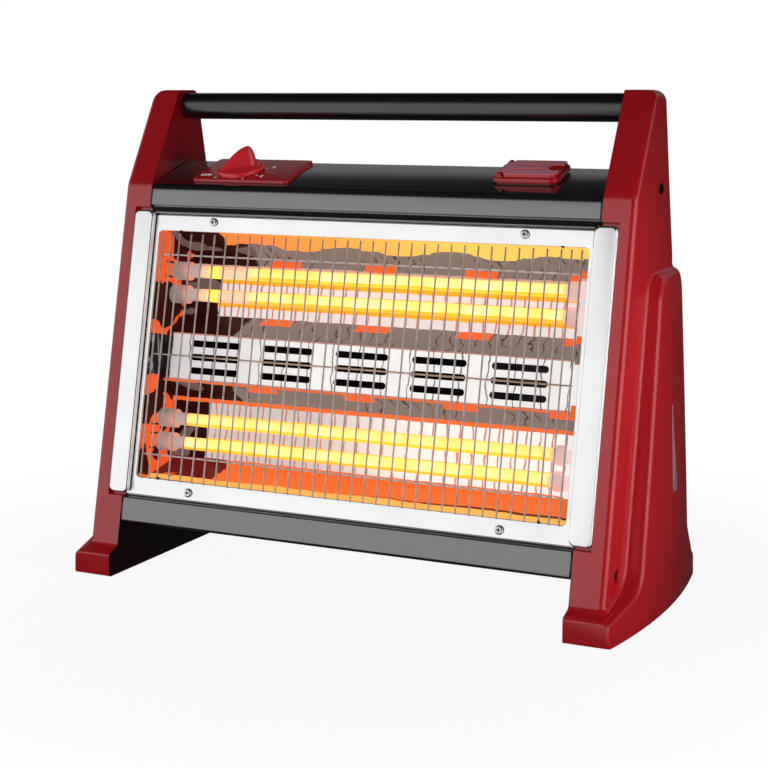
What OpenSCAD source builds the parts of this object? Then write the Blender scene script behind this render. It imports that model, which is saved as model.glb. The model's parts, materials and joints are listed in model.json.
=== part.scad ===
/* [Overall] */
// Clear width between the two side frames
inner_w = 430; // [400:1:520]
// Height of the side frames
frame_h = 434; // [392:1:480]
// Depth of a side frame's foot
foot_d = 244; // [222:1:280]
// Lean of the front from the upright, in degrees
lean = 12; // [10:0.5:13]

/* [Side frames] */
// Thickness of a side frame at its outer base face
frame_t = 28.5; // [26:0.5:36]
// Wall of the moulded frames
wall = 3; // [2:0.25:4]
// Height of the front foot's face
foot_h = 22; // [18:1:26]
// Length of the front foot before the leg
foot_step = 13; // [8:1:18]
// Height at which the leg leaves the front foot
leg_z = 26; // [24:1:30]
// Height of the bend in the front edge as a share of the frame's height
bend_share = 0.8034562; // [0.79:0.0000001:0.82]
// Lean of the front edge above the bend, in degrees
upper_lean = 30; // [24:1:33]
// Depth of the frame's top
top_d = 30.5; // [28:0.5:40]
// Height of the ledge on top of the outer bulge as a share of the bend's height
ledge_share = 0.811586; // [0.7:0.000001:0.85]
// Distance from the frame's rear edge at the ledge to the back of the foot
knee_in = 50.5; // [40:0.5:54]
// Height of the rear foot
rear_foot_h = 19; // [14:1:24]
// Length of the rear foot behind the leg
rear_foot_step = 12; // [6:1:20]
// Distance from the front edge back to the bulge's front wall
channel_d = 46; // [38:1:56]
// Reach of the bulge past the inner face at the foot's corners
foot_reach = 38.5; // [34:0.5:44]
// Bow of the outer face along the floor
bow = 11; // [6:0.5:16]
// Draft of the outer face, in degrees
draft = 1.7; // [0.5:0.1:2]
// Rounding of the front edge
edge_r = 8; // [4:0.5:9]
// Rounding of the top edge
top_r = 10; // [4:0.5:12]
// Diameter of the screw recesses
recess_dia = 12; // [10:0.5:14]

/* [Handle] */
// Diameter of the handle tube
handle_dia = 24; // [20:0.5:26]
// Wall of the handle tube
handle_wall = 2; // [1:0.25:3]
// Length of the frames' spigots inside the tube
spigot_l = 24; // [12:1:40]

/* [Sheet housing] */
// Thickness of the painted sheet
sheet_t = 1; // [0.7:0.1:1.2]
// Slope of the top cover, in degrees
cover_slope = 17.5; // [14:0.5:20]
// Length of the top cover up its slope
cover_d = 70; // [68:0.5:74]
// Height of the bottom pan
pan_z = 47.5; // [44:0.5:52]
// Distance from the back of the feet to the pan's rear edge
pan_in = 39; // [32:1:49]
// Height of the recessed lip beside the front frame as a share of the band below the window
lip_share = 0.3181; // [0.25:0.0001:0.35]
// Bend radius of the front edges of the cover and the pan as a share of that band
round_share = 0.33683; // [0.2:0.00001:0.38]

/* [Front] */
// Height of the window up the leaning front
window_h = 224; // [200:1:250]
// Share of the height left over by the front frame that is below it
low_share = 0.49824; // [0.4:0.00001:0.6]
// Width of the front frame beside the window
side_strip = 10; // [9:0.5:20]
// Width of the strip above the window
top_strip = 14; // [12:0.5:16]
// Width of the strip below the window
low_strip = 16.3; // [14:0.5:18]
// Depth of the front frame behind the side frames' front
front_d = 5; // [3:0.5:7]
// Width of a side trim
trim_w = 20; // [16:0.5:21]
// Overlap of a side trim over the front frame
trim_lap = 5; // [3:0.5:6]
// Diameter of the grille wires
wire_dia = 2; // [1.5:0.1:2.4]
// Number of evenly spaced upright wires
wire_n = 31; // [25:1:37]
// Distance of the outermost even wire from the window's side
wire_in = 22.7; // [21:0.1:36]
// Gap between the close wires at each end
end_gap = 8.8; // [6:0.1:9]

/* [Heater] */
// Diameter of a quartz tube
tube_dia = 11.5; // [9:0.5:13]
// Wall of a quartz tube
tube_wall = 1.2; // [0.8:0.1:1.6]
// Depth of the tubes behind the front
tube_d = 32; // [30:0.5:36]
// Spacing of the two tubes of a pair
tube_gap = 21.5; // [20:0.5:24]
// Distance of a pair's middle from the edge of the window
pair_in = 44.2; // [40:0.1:50]
// Diameter of a ceramic cap
cap_dia = 17; // [16:0.5:19]
// Distance of the reflectors' ends from the side frames
reflector_in = 15; // [12:0.5:25]
// Depth of the reflector troughs
trough_d = 52; // [48:0.5:56]
// Depth of the slotted panel between the troughs
vent_d = 25.4; // [20:0.2:30]
// Height of the slotted panel
vent_h = 43; // [38:0.5:48]
// Length of a vent slot
slot_l = 51; // [40:1:60]
// Width of a vent slot
slot_w = 6; // [4:0.5:8]
// Gap between the slot groups
slot_gap = 22.5; // [13:0.5:25]
// Turns of a heating coil
coil_turns = 22; // [12:1:22]
// Diameter of the coil wire
coil_wire = 1; // [0.8:0.1:1.2]
// Outer diameter of a heating coil
coil_dia = 7; // [5:0.25:7.5]
// Length of the cold end of a tube beyond the wound part
cold_end = 22; // [18:1:44]

/* [Controls] */
// Width of the control plate
plate_w = 98; // [80:1:110]
// Depth of the control plate
plate_d = 54.5; // [48:0.5:56]
// Thickness of the control plate
plate_t = 3; // [2:0.25:4]
// Diameter of the knob's disc
knob_dia = 43; // [34:0.5:46]
// Height of the knob's grip above its disc
grip_h = 17; // [12:0.5:20]
// Diameter of the switch shaft
shaft_dia = 6; // [5:0.25:6.5]

/* [Humidifier] */
// Width of the filler frame
filler_w = 60; // [54:1:66]
// Depth of the filler frame
filler_d = 40; // [36:1:44]
// Height of the filler frame
filler_h = 6; // [5:0.5:7]
// Thickness of the lid
lid_t = 3; // [2:0.25:4]
// Diameter of the lid's hinge pin
pin_dia = 2.5; // [2:0.1:3]
// Wall of the water tank
tank_wall = 2; // [1.5:0.25:3]
// Length of the water tank
tank_l = 108; // [80:1:112]

/* [Clearances] */
// Gap between pieces that are set side by side
gap = 0.3; // [0.2:0.05:0.4]
// Radial clearance of turning pieces
run = 0.05; // [0.02:0.01:0.08]

/* [Hidden] */

// Colours of the pieces
red = [0.70, 0.09, 0.11];
black = [0.10, 0.10, 0.11];
bright = [0.86, 0.87, 0.88];
steel = [0.62, 0.63, 0.65];
glow = [1.00, 0.82, 0.30];
ceramic = [0.88, 0.85, 0.80];
brass = [0.78, 0.62, 0.30];
clear = [0.72, 0.76, 0.82];

// Steps in a rounded corner of an outline, and margin by which cutters overrun
steps = 5;
over = 1;
big = 60;
$fn = 48;

// Places along the width
x_in = inner_w / 2;
x_base = x_in + frame_t;
x_panel = x_in - gap;
x_sheet = x_panel - sheet_t - gap;
bow_x = x_in + foot_reach + bow;
bow_r = ((foot_d / 2) * (foot_d / 2) + bow * bow) / (2 * bow);

// Places on the side frame's outline, measured from the front of the foot
pad_out = 1;
bend_z = frame_h * bend_share;
ledge_z = bend_z * ledge_share;
knee_y = foot_d - knee_in;
pan_y = foot_d - pan_in;
function leg_y(z) = foot_step + (z - leg_z) * tan(lean);
bend_y = leg_y(bend_z);
top_y = bend_y + (frame_h - bend_z) * tan(upper_lean);
heel = [foot_d - rear_foot_step, rear_foot_h + 5];
rear_lean_top = atan((knee_y - top_y - top_d) / (frame_h - ledge_z));
sweep_z = foot_h + 12;
wall_top = leg_y(ledge_z) + channel_d;
upper_recess = [bend_y + 65.1, bend_z + 2];
lower_recess = [leg_y(pan_z + 0.5) + 25.5, pan_z + 0.5];
recess_seat = 5;
front_wall = front_d + 1 + wall;

// Places on the leaning front: distance behind it and height up it
function front_point(d, h) =
  [foot_step + d * cos(lean) + h * sin(lean), leg_z - d * sin(lean) + h * cos(lean)];
bend_h = (bend_z - leg_z) / cos(lean);
pan_h = (pan_z - leg_z) / cos(lean);
low_band = (bend_h - pan_h - low_strip - window_h - top_strip) * low_share;
lip_h = low_band * lip_share;
bend_r = low_band * round_share;
window_z = pan_h + low_band + low_strip;
window_top = window_z + window_h;
window_w = inner_w - 2 * side_strip;
window_mid = window_z + window_h / 2;
strip_top = window_top + top_strip;
strip_low = window_z - low_strip;
frame_plate_t = 1;
flange_d = front_d + frame_plate_t + 0.2;
lip_d = front_d - 1.8;
band_d = 0.3;
trim_top = strip_top + 0.435 * lip_h;
trim_low = strip_low + 0.5;
trim_out = x_in - trim_lap + trim_w;
trim_r = 6;
trim_t = 1;

// Places on the sloping cover: distance up it and height off it
function cover_point(s, h) =
  [bend_y + s * cos(cover_slope) - h * sin(cover_slope),
   bend_z + s * sin(cover_slope) + h * cos(cover_slope)];
cover_back = cover_point(cover_d, 0);
rear_run = cover_back - [pan_y, pan_z];
rear_lean = atan(-rear_run.x / rear_run.y);
rear_l = norm(rear_run);
flange_l = 14;

// Places on the rear: distance out of it and height up it
function rear_point(o, h) =
  [pan_y + o * cos(rear_lean) - h * sin(rear_lean), pan_z + o * sin(rear_lean) + h * cos(rear_lean)];

// Fastener sizes
screw_dia = 4;
head_dia = 8;
head_h = 2.4;
front_screw_x = x_in - 66;
screw_z_top = strip_top - 5;
screw_z_low = strip_low + 6.5;

// Heater sizes
reflector_x = x_in - reflector_in;
pair_z = window_h / 2 - pair_in;
wire_x = window_w / 2 - wire_in;
slot_pitch = slot_l + slot_gap;
tube_h = [for (s = [1, -1], k = [1, -1]) window_mid + s * pair_z + k * tube_gap / 2];
reflector_t = 0.8;
plate_x = reflector_x + gap;
end_t = 1;
cap_in = reflector_x - 16;
cap_out = plate_x + end_t + 8;
clip_x = plate_x + end_t + gap;
clip_t = 1;
groove_dia = cap_dia - 4;
tube_x = cap_in + 10;
pin_in = tube_x - 1.5;
coil_x = tube_x - cold_end;
pin_out = min(cap_out + 2.5, x_panel - sheet_t - gap);
terminal_dia = 3.6;
trough_top = window_top + 2.6;
trough_slope = 18.6;
trough_rise = 19;

// Control and lid places on the cover
plate_x0 = -x_in + 37;
knob_x = plate_x0 + 40;
knob_s = 32;
switch_size = [34, 34, 26];
shaft_in = 12;
plate_s0 = 9.5;
bush_dia = shaft_dia + 3;
knob_base_h = plate_t + 0.2 + gap;
disc_h = 5;
pointer_rest = 225;
filler_x0 = x_in - 46 - filler_w;
filler_s0 = 21;
hinge_x = filler_x0 + 6.5;
knuckle_dia = pin_dia + 3.5;
hinge_h = filler_h + gap + lid_t - knuckle_dia / 2;
mouth_x0 = hinge_x + knuckle_dia / 2 + 4;
mouth_x1 = filler_x0 + filler_w - 6;
mouth_s0 = filler_s0 + 6;
mouth_s1 = filler_s0 + filler_d - 6;
lid_x1 = filler_x0 + filler_w - 2.5;
lid_s0 = filler_s0 + 2.5;
lid_s1 = filler_s0 + filler_d - 2.5;
ear_l = 5;
neck_h = 8;

// Water tank and level window places
tank_x1 = x_sheet - 8;
tank_x0 = tank_x1 - tank_l;
tank_low = window_z + 7;
tank_high = window_top + 7;
tank_rear = 9;
tank_foot = front_point(trough_d + 7, tank_low);
level_at = tank_foot + [56.3, 13.3];
level_w = 18.5;
level_h = 75.5;
window_pts = [level_at + [1.5, 1.5], level_at + [level_w, 0], level_at + [-0.5, level_h]];

// Outline helpers
function unit(v) = v / norm(v);
function flat(p) = [p.x, p.y];
function turn(a, b) = a.x * b.y - a.y * b.x;

// Arc that rounds the corner b between a and c with radius r
function corner(a, b, c, r) =
  r == 0 ? [b] :
  let (
    u = unit(a - b),
    v = unit(c - b),
    half = acos(u * v) / 2,
    centre = b + unit(u + v) * r / sin(half),
    from = b + u * r / tan(half) - centre,
    to = b + v * r / tan(half) - centre,
    span = 180 - 2 * half
  )
  [for (i = [0:steps])
    centre + (sin((1 - i / steps) * span) * from + sin(i / steps * span) * to) / sin(span)];

// Closed outline with each corner [y, z, r] rounded
function rounded(pts) =
  let (n = len(pts))
  [for (i = [0:n - 1])
    each corner(flat(pts[(i + n - 1) % n]), flat(pts[i]), flat(pts[(i + 1) % n]), pts[i][2])];

// Open path with each inner corner [y, z, r] rounded
function rounded_path(pts) =
  let (n = len(pts))
  [for (i = [0:n - 1])
    each (i == 0 || i == n - 1 ? [flat(pts[i])] :
      corner(flat(pts[i - 1]), flat(pts[i]), flat(pts[i + 1]), pts[i][2]))];

// Corner b moved to the right of both its edges, by t0 and t1
function inset_corner(a, b, c, t0, t1) =
  let (d0 = unit(b - a), d1 = unit(c - b), k = turn(d0, d1))
  abs(k) < 0.0001 ? b + t0 * [d0.y, -d0.x] : b + d0 * t1 / k - d1 * t0 / k;

// Open path moved to its right by t
function moved_path(p, t) =
  let (n = len(p))
  [for (i = [0:n - 1])
    let (
      a = i == 0 ? 2 * p[0] - p[1] : p[i - 1],
      c = i == n - 1 ? 2 * p[n - 1] - p[n - 2] : p[i + 1]
    )
    inset_corner(a, p[i], c, t, t)];
function reversed(p) = [for (i = [len(p) - 1:-1:0]) p[i]];

// Frames of reference: depth from the feet, the leaning front, the cover and the rear panel
module place() { translate([0, -foot_d / 2, 0]) children(); }
module on_front() { translate([0, foot_step, leg_z]) rotate([-lean, 0, 0]) children(); }
module on_cover() { translate([0, bend_y, bend_z]) rotate([cover_slope, 0, 0]) children(); }
module on_rear() { translate([0, pan_y, pan_z]) rotate([rear_lean, 0, 0]) children(); }
module both_sides() { for (s = [0, 1]) mirror([s, 0, 0]) children(); }

// Outline in depth and height, drawn out along the width from x0 to x1
module across(x0, x1) {
  translate([x0, 0, 0]) rotate([90, 0, 90]) linear_extrude(x1 - x0) children();
}

// Bent sheet of thickness t between x0 and x1, along its outer path
module sheet(path, t, x0, x1) {
  across(x0, x1) polygon(concat(path, reversed(moved_path(path, t))));
}

// Plate on a plane, drawn back along the depth from d0 to d1, its outline in width and height
module front_plate(d0, d1) {
  translate([0, d1, 0]) rotate([90, 0, 0]) linear_extrude(d1 - d0) children();
}

// Rod along the width
module rod(x0, x1, d) { translate([x0, 0, 0]) rotate([0, 90, 0]) cylinder(h = x1 - x0, d = d); }

// Round-ended slot along x
module slot(l, w) {
  square([l - w, w], center = true);
  for (s = [-1, 1]) translate([s * (l - w) / 2, 0]) circle(d = w);
}

// Rectangle with round corners
module soft_rect(x0, y0, x1, y1, r) {
  polygon(rounded([[x0, y0, r], [x0, y1, r], [x1, y1, r], [x1, y0, r]]));
}

// Cutter that rounds an edge along z, the material being at -x and +y
module edge_cutter(l, r) {
  difference() {
    translate([-r, -big, 0]) cube([r + big, r + big, l]);
    translate([-r, r, -over]) cylinder(h = l + 2 * over, r = r);
  }
}

// Cutter that chamfers an edge along z by c, the material being at -x and +y
module chamfer_cutter(z0, z1, c) {
  rotate([0, 0, 45]) translate([-big / 2, -big, z0]) cube([big, big + c / sqrt(2), z1 - z0]);
}

// Side frames
bulge_corners = [
  [0, pad_out, 2], [0, foot_h, 3], [leg_y(sweep_z) + channel_d, sweep_z, 28],
  [wall_top, ledge_z, 15], [knee_y, ledge_z, 8],
  [heel.x, heel.y, 4], [foot_d, rear_foot_h, 5], [foot_d, pad_out, 2]
];
frame_corners = [
  [0, pad_out, 2], [0, foot_h, 3], [foot_step, leg_z, 6], [bend_y, bend_z, 14], [top_y, frame_h, 4],
  [top_y + top_d, frame_h, 8], [knee_y, ledge_z, 30],
  [heel.x, heel.y, 4], [foot_d, rear_foot_h, 5], [foot_d, pad_out, 2]
];
foot_solid = 34;

// Round-topped body whose outer face bows along the floor and leans in with height
module bow_body(inset) {
  top_z = ledge_z - inset;
  r = 9;
  r_top = bow_r - inset - top_z * tan(draft);
  translate([bow_x - bow_r, foot_d / 2, -over])
    rotate_extrude($fn = 360)
      polygon(concat(
        [[0, 0], [bow_r - inset, 0]],
        corner([bow_r - inset, 0], [r_top, top_z + over], [0, top_z + over], r),
        [[0, top_z + over]]
      ));
}

module frame_shell() {
  difference() {
    across(x_in, x_base) polygon(rounded(frame_corners));
    on_front() translate([x_base, 0, 3]) edge_cutter(bend_h + 20, edge_r);
    translate([x_base, bend_y, bend_z]) rotate([-upper_lean, 0, 0]) translate([0, 0, -20])
      edge_cutter(frame_h, edge_r);
    translate([x_base, 0, frame_h]) rotate([-90, 0, 0]) edge_cutter(foot_d, top_r);
    translate([x_base, knee_y, ledge_z]) rotate([rear_lean_top, 0, 0]) mirror([0, 1, 0])
      edge_cutter(frame_h, edge_r / 2);
  }
  difference() {
    intersection() {
      across(x_base - edge_r - over, bow_x + over) polygon(rounded(bulge_corners));
      bow_body(0);
    }
    bulge_edge(leg_y(ledge_z / 2) + channel_d, 1, -lean);
    bulge_edge((knee_y + heel.x) / 2, -1, atan((heel.x - knee_y) / (ledge_z - heel.y)));
  }
  across(x_in, x_base) polygon([[0, pad_out], [0, foot_h - 3], [foot_d, rear_foot_h - 5], [foot_d, pad_out]]);
}

// Chamfer on an upright edge of the bulge, at mid height, facing the front or the rear
module bulge_edge(y, side, tilt) {
  z = ledge_z / 2;
  x = bow_x - bow_r + sqrt(bow_r * bow_r - (y - foot_d / 2) * (y - foot_d / 2)) - z * tan(draft);
  translate([x, y, z]) rotate([tilt, 0, 0]) rotate([0, -draft - side / 2, 0])
    mirror([0, side > 0 ? 0 : 1, 0]) chamfer_cutter(sweep_z + 20 - z, ledge_z + 20 - z, 5);
}

module frame_hollow() {
  c = frame_corners;
  shell = [
    inset_corner(flat(c[2]), flat(c[3]), flat(c[4]), front_wall, front_wall),
    inset_corner(flat(c[3]), flat(c[4]), flat(c[5]), front_wall, top_r),
    inset_corner(flat(c[4]), flat(c[5]), flat(c[6]), top_r, wall),
    inset_corner(flat(c[5]), flat(c[6]), flat(c[7]), wall, wall),
    inset_corner(flat(c[6]), flat(c[7]), [flat(c[7]).x - big, flat(c[7]).y], wall, -wall)
  ];
  across(x_in + wall, x_base - wall)
    polygon(concat([[foot_solid, -over], front_point(front_wall, 18)], shell, [[foot_d - foot_solid, -over]]));
  b = bulge_corners;
  bulge = [
    inset_corner(flat(b[1]), flat(b[2]), flat(b[3]), wall, 2 * wall),
    inset_corner(flat(b[2]), flat(b[3]), flat(b[4]), 2 * wall, wall),
    inset_corner(flat(b[3]), flat(b[4]), flat(b[5]), wall, 2 * wall),
    [heel.x - 2 * wall - 8, heel.y + 30]
  ];
  intersection() {
    across(x_base - wall - over, bow_x)
      polygon(concat([[foot_solid + 8, -over]], bulge, [[foot_d - foot_solid, -over]]));
    bow_body(wall);
  }
}

module side_frame() {
  difference() {
    union() {
      difference() {
        frame_shell();
        frame_hollow();
      }
      for (p = [upper_recess, lower_recess])
        translate([0, p.x, p.y]) rod(x_in, x_base - over, recess_dia + 2 * wall);
      translate([0, handle_y, handle_z]) rod(x_in - spigot_l, x_in + wall, spigot_dia);
    }
    for (p = [upper_recess, lower_recess]) translate([0, p.x, p.y]) {
      rod(x_in + recess_seat, bow_x, recess_dia);
      rod(x_in - over, x_in + recess_seat + over, screw_dia + 2 * gap);
    }
    on_front() front_plate(-big, front_d)
      soft_rect(x_in - big, trim_low - 3, trim_out + gap, trim_top + 3, trim_r + gap);
    for (y = pad_ys) translate([x_in + pad_in - gap, y - gap, -over])
      cube([pad_w + 2 * gap, pad_d + 2 * gap, over + pad_h]);
  }
}

handle_y = (top_y + top_y + top_d) / 2 - 2;
handle_z = frame_h - handle_dia / 2 - 2.7;
spigot_dia = handle_dia - 2 * handle_wall - 0.4;
pad_h = 3;
pad_w = 24;
pad_d = 20;
pad_in = 5;
pad_ys = [6, foot_d - 6 - pad_d];

// Prism of the water level window's outline, grown by g
module level_prism(x0, x1, g) {
  n = len(window_pts);
  across(x0, x1) polygon([for (i = [0:n - 1])
    inset_corner(window_pts[(i + n - 1) % n], window_pts[i], window_pts[(i + 1) % n], g, g)]);
}

module left_side_frame() { color(red) place() mirror([1, 0, 0]) side_frame(); }
module right_side_frame() {
  color(red) place() difference() {
    side_frame();
    level_prism(x_in - over, bow_x + over, gap);
  }
}

module handle_tube() {
  color(black) place() translate([0, handle_y, handle_z]) difference() {
    rod(-x_in, x_in, handle_dia);
    rod(-x_in - over, x_in + over, handle_dia - 2 * handle_wall);
  }
}

// Sheet housing
function lip_path(sign, edge) = [
  [flange_d, edge - sign * 10, 0], [flange_d, edge + sign * 0.141 * lip_h, 0.8],
  [lip_d, edge + sign * 0.141 * lip_h, sheet_t + 0.6], [lip_d, edge + sign * lip_h, 0.6],
  [band_d, edge + sign * lip_h, sheet_t + 0.4]
];
function on_front_path(pts) = [for (p = pts) [front_point(p.x, p.y).x, front_point(p.x, p.y).y, p[2]]];
cover_bend = cover_point(0, 0) + [band_d * cos(lean), 0];
cover_path = rounded_path(concat(
  on_front_path(lip_path(1, strip_top)),
  [[cover_bend.x, cover_bend.y, bend_r], [cover_back.x, cover_back.y, 5]],
  [[cover_back.x + flange_l * sin(rear_lean), cover_back.y - flange_l * cos(rear_lean), 0]]
));
pan_front = front_point(band_d, pan_h);
pan_path = rounded_path(concat(
  [[pan_y - flange_l * sin(rear_lean), pan_z + flange_l * cos(rear_lean), 0], [pan_y, pan_z, 4],
   [pan_front.x, pan_z, 0.9 * bend_r]],
  reversed(on_front_path(lip_path(-1, strip_low)))
));

module lip_corners(h0, h1) {
  both_sides() on_front() translate([x_in - trim_lap - gap, -big, h0]) cube([big, 2 * big, h1 - h0]);
}

module top_cover() {
  color(black) place() difference() {
    sheet(cover_path, sheet_t, -x_sheet, x_sheet);
    lip_corners(strip_top - 12, trim_top + gap);
    both_sides() on_front() translate([front_screw_x, big, screw_z_top]) rotate([90, 0, 0])
      cylinder(h = 2 * big, d = screw_dia + 0.4);
    on_cover() translate([knob_x, knob_s, -big / 2]) cylinder(h = big, d = bush_dia + 2 * gap);
    on_cover() translate([mouth_x0 - 2 - gap, mouth_s0 - 2 - gap, -10])
      cube([mouth_x1 - mouth_x0 + 4 + 2 * gap, mouth_s1 - mouth_s0 + 4 + 2 * gap, 20]);
    rear_holes();
  }
}

module bottom_pan() {
  color(black) place() difference() {
    sheet(pan_path, sheet_t, -x_sheet, x_sheet);
    both_sides() on_front() translate([front_screw_x, big, screw_z_low]) rotate([90, 0, 0])
      cylinder(h = 2 * big, d = screw_dia + 0.4);
    both_sides() translate([0, lower_recess.x, lower_recess.y]) rod(x_in - 8, x_in, screw_dia + 2);
    rear_holes();
  }
}

rear_screw_x = [35 - x_in, 0, x_in - 35];
rear_screw_h = [7, rear_l - 7];
gland_x = -x_in + 85;
gland_h = 45;
gland_dia = 16;

module rear_holes() {
  on_rear() for (x = rear_screw_x, h = rear_screw_h) translate([x, big / 3, h]) rotate([90, 0, 0])
    cylinder(h = 2 * big / 3, d = screw_dia + 0.4);
}

vent_cols = 7;
vent_rows = 6;
vent_pitch = (2 * x_in - 52) / vent_cols;
module rear_panel() {
  color(black) place() difference() {
    on_rear() front_plate(0.2, 0.2 + sheet_t) difference() {
      translate([-x_sheet, 1]) square([2 * x_sheet, rear_l - 7]);
      for (i = [0:vent_cols - 1], j = [0:vent_rows - 1], k = [0, 1])
        translate([(i - (vent_cols - 1) / 2) * vent_pitch, rear_l * (0.2 + 0.58 * k) + (j - (vent_rows - 1) / 2) * 10])
          slot(vent_pitch - 12, 5);
      translate([gland_x, gland_h]) circle(d = gland_dia + 0.4);
    }
    rear_holes();
  }
}

panel_corners = concat(
  on_front_path([[flange_d, strip_low - 1, 0], [flange_d, trim_top + 2 * gap, 0], [band_d, strip_top + lip_h, 0]]),
  [[cover_bend.x, cover_bend.y, bend_r], [cover_back.x, cover_back.y, 5], [pan_y, pan_z, 4],
   [pan_front.x, pan_z, 0.9 * bend_r]],
  on_front_path([[band_d, strip_low - lip_h, 0]])
);
module side_panel() {
  difference() {
    union() {
      across(x_panel - sheet_t, x_panel) polygon(rounded(panel_corners));
      translate([0, lower_recess.x, lower_recess.y]) rod(x_panel - sheet_t, x_panel, 20);
    }
    for (p = [upper_recess, lower_recess]) translate([0, p.x, p.y])
      rod(x_panel - big, x_panel + over, screw_dia + 0.2);
  }
}
module left_side_panel() { color(black) place() mirror([1, 0, 0]) side_panel(); }
module right_side_panel() {
  color(black) place() difference() {
    side_panel();
    level_prism(x_panel - big, x_in, gap);
  }
}

// Front
module window(grow) {
  w = window_w / 2 + grow;
  soft_rect(-w, window_z - grow, w, window_top + grow, 3);
}
hook_x = wire_x;
module front_frame() {
  turned = flange_d + sheet_t - front_d - frame_plate_t;
  color(bright) place() on_front() difference() {
    union() {
      front_plate(front_d, front_d + frame_plate_t) difference() {
        translate([-x_panel, strip_low]) square([2 * x_panel, strip_top - strip_low]);
        window(0);
      }
      front_plate(front_d, front_d + frame_plate_t + turned) difference() {
        window(frame_plate_t);
        window(0);
      }
    }
    for (s = [-1, 1]) {
      for (z = [screw_z_top, screw_z_low]) translate([s * front_screw_x, big, z]) rotate([90, 0, 0])
        cylinder(h = 2 * big, d = screw_dia + 0.4);
      for (z = [window_z, window_top]) translate([s * hook_x, big, z]) rotate([90, 0, 0])
        cylinder(h = 2 * big, d = wire_dia + 1.4);
    }
  }
}

module trim_outline(inset) {
  soft_rect(x_in - trim_lap + inset, trim_low + inset, trim_out - inset, trim_top - inset, trim_r - inset);
}
module side_trim() {
  on_front() difference() {
    front_plate(-1, front_d - 0.1) trim_outline(0);
    front_plate(trim_t - 1, front_d + over) trim_outline(trim_t);
  }
}
module left_trim() { color(bright) place() mirror([1, 0, 0]) side_trim(); }
module right_trim() { color(bright) place() side_trim(); }

wire_d = front_d - wire_dia / 2 - 0.2;
wire_low = window_z - 3.5;
wire_high = window_top - 2;
cross_z = [window_z + 21, window_mid - 0.3, window_top - 21.7];
wire_xs = concat(
  [for (i = [0:wire_n - 1]) -wire_x + 2 * wire_x * i / (wire_n - 1)],
  [for (s = [-1, 1], k = [1, 2]) s * (wire_x + k * end_gap)]
);
module grille() {
  color(steel) place() on_front() {
    for (x = wire_xs) translate([x, wire_d, wire_low])
      cylinder(h = wire_high - wire_low, d = wire_dia, $fn = 8);
    for (z = cross_z) translate([0, wire_d + wire_dia * 0.85, z]) rotate([0, 90, 0])
      cylinder(h = 2 * (wire_x + 2 * end_gap) + 2, d = wire_dia, center = true, $fn = 8);
    for (s = [-1, 1]) {
      translate([s * hook_x, wire_d, wire_high - 1]) cylinder(h = 3 + wire_dia / 2, d = wire_dia, $fn = 8);
      for (z = [window_z, window_top]) translate([s * hook_x, wire_d - wire_dia / 2, z]) rotate([-90, 0, 0])
        cylinder(h = 7, d = wire_dia, $fn = 8);
    }
  }
}

// Heater: the upper trough is drawn above the middle of the window, the lower one mirrors it
trough_path = rounded_path([
  [flange_d + sheet_t + gap, trough_top - window_mid + 11, 0],
  [flange_d + sheet_t + gap, trough_top - window_mid, 1],
  [trough_d, trough_top - window_mid - trough_slope, 6],
  [trough_d, vent_h / 2 + trough_rise, 6],
  [vent_d + reflector_t + gap, vent_h / 2 + 1, 1],
  [vent_d + reflector_t + gap, vent_h / 2 - 5, 0]
]);
module trough(screw_z) {
  difference() {
    sheet(trough_path, -reflector_t, -reflector_x, reflector_x);
    for (s = [-1, 1]) translate([s * front_screw_x, trough_d / 2, screw_z - window_mid]) rotate([90, 0, 0])
      cylinder(h = trough_d, d = screw_dia + 0.4);
  }
}
module upper_reflector() {
  color(bright) place() on_front() translate([0, 0, window_mid]) trough(screw_z_top);
}
module lower_reflector() {
  color(bright) place() on_front() translate([0, 0, window_mid]) mirror([0, 0, 1])
    trough(2 * window_mid - screw_z_low);
}
module vent_panel() {
  color(bright) place() on_front() front_plate(vent_d, vent_d + reflector_t)
    translate([0, window_mid]) difference() {
      square([2 * reflector_x, vent_h], center = true);
      for (i = [-2:2], j = [-1:1]) translate([i * slot_pitch, j * slot_w * 2.05]) slot(slot_l, slot_w);
    }
}

module end_plate() {
  z0 = strip_low + 12;
  z1 = strip_top - 12;
  d0 = flange_d + sheet_t + gap;
  on_front() {
    difference() {
      translate([plate_x, d0, z0]) cube([end_t, trough_d + 6 - d0, z1 - z0]);
      for (h = tube_h) translate([0, tube_d, h]) rod(plate_x - over, plate_x + 2, cap_dia + 2 * gap);
    }
    translate([plate_x, d0, z0]) cube([x_panel - sheet_t - gap - plate_x, end_t, z1 - z0]);
  }
}
module left_end_plate() { color(bright) place() mirror([1, 0, 0]) end_plate(); }
module right_end_plate() { color(bright) place() end_plate(); }

module quartz_tube(i) {
  color(glow) place() on_front() translate([0, tube_d, tube_h[i]]) difference() {
    rod(-tube_x, tube_x, tube_dia);
    rod(-tube_x - over, tube_x + over, tube_dia - 2 * tube_wall);
  }
}
module quartz_tube_1() { quartz_tube(0); }
module quartz_tube_2() { quartz_tube(1); }
module quartz_tube_3() { quartz_tube(2); }
module quartz_tube_4() { quartz_tube(3); }

// Heating coil: a helix about x whose ends ease on to the axis and run straight to the terminals
coil_r = (coil_dia - coil_wire) / 2;
rings = 8;
coil_ease = 12;
coil_steps = coil_turns * rings;
function coil_point(k) =
  let (
    x = -coil_x + 2 * coil_x * k / coil_steps,
    edge = min(1, min(k, coil_steps - k) / coil_ease),
    r = coil_r * (1 - cos(180 * edge)) / 2
  )
  [x, r * cos(360 * k / rings), r * sin(360 * k / rings)];
coil_line = concat(
  [[-pin_in, 0, 0], [-pin_in + 2 * coil_wire, 0, 0], [-coil_x - 4, 0, 0]],
  [for (k = [1:coil_steps - 1]) coil_point(k)],
  [[coil_x + 4, 0, 0], [pin_in - 2 * coil_wire, 0, 0], [pin_in, 0, 0]]
);
sides = 6;

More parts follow.
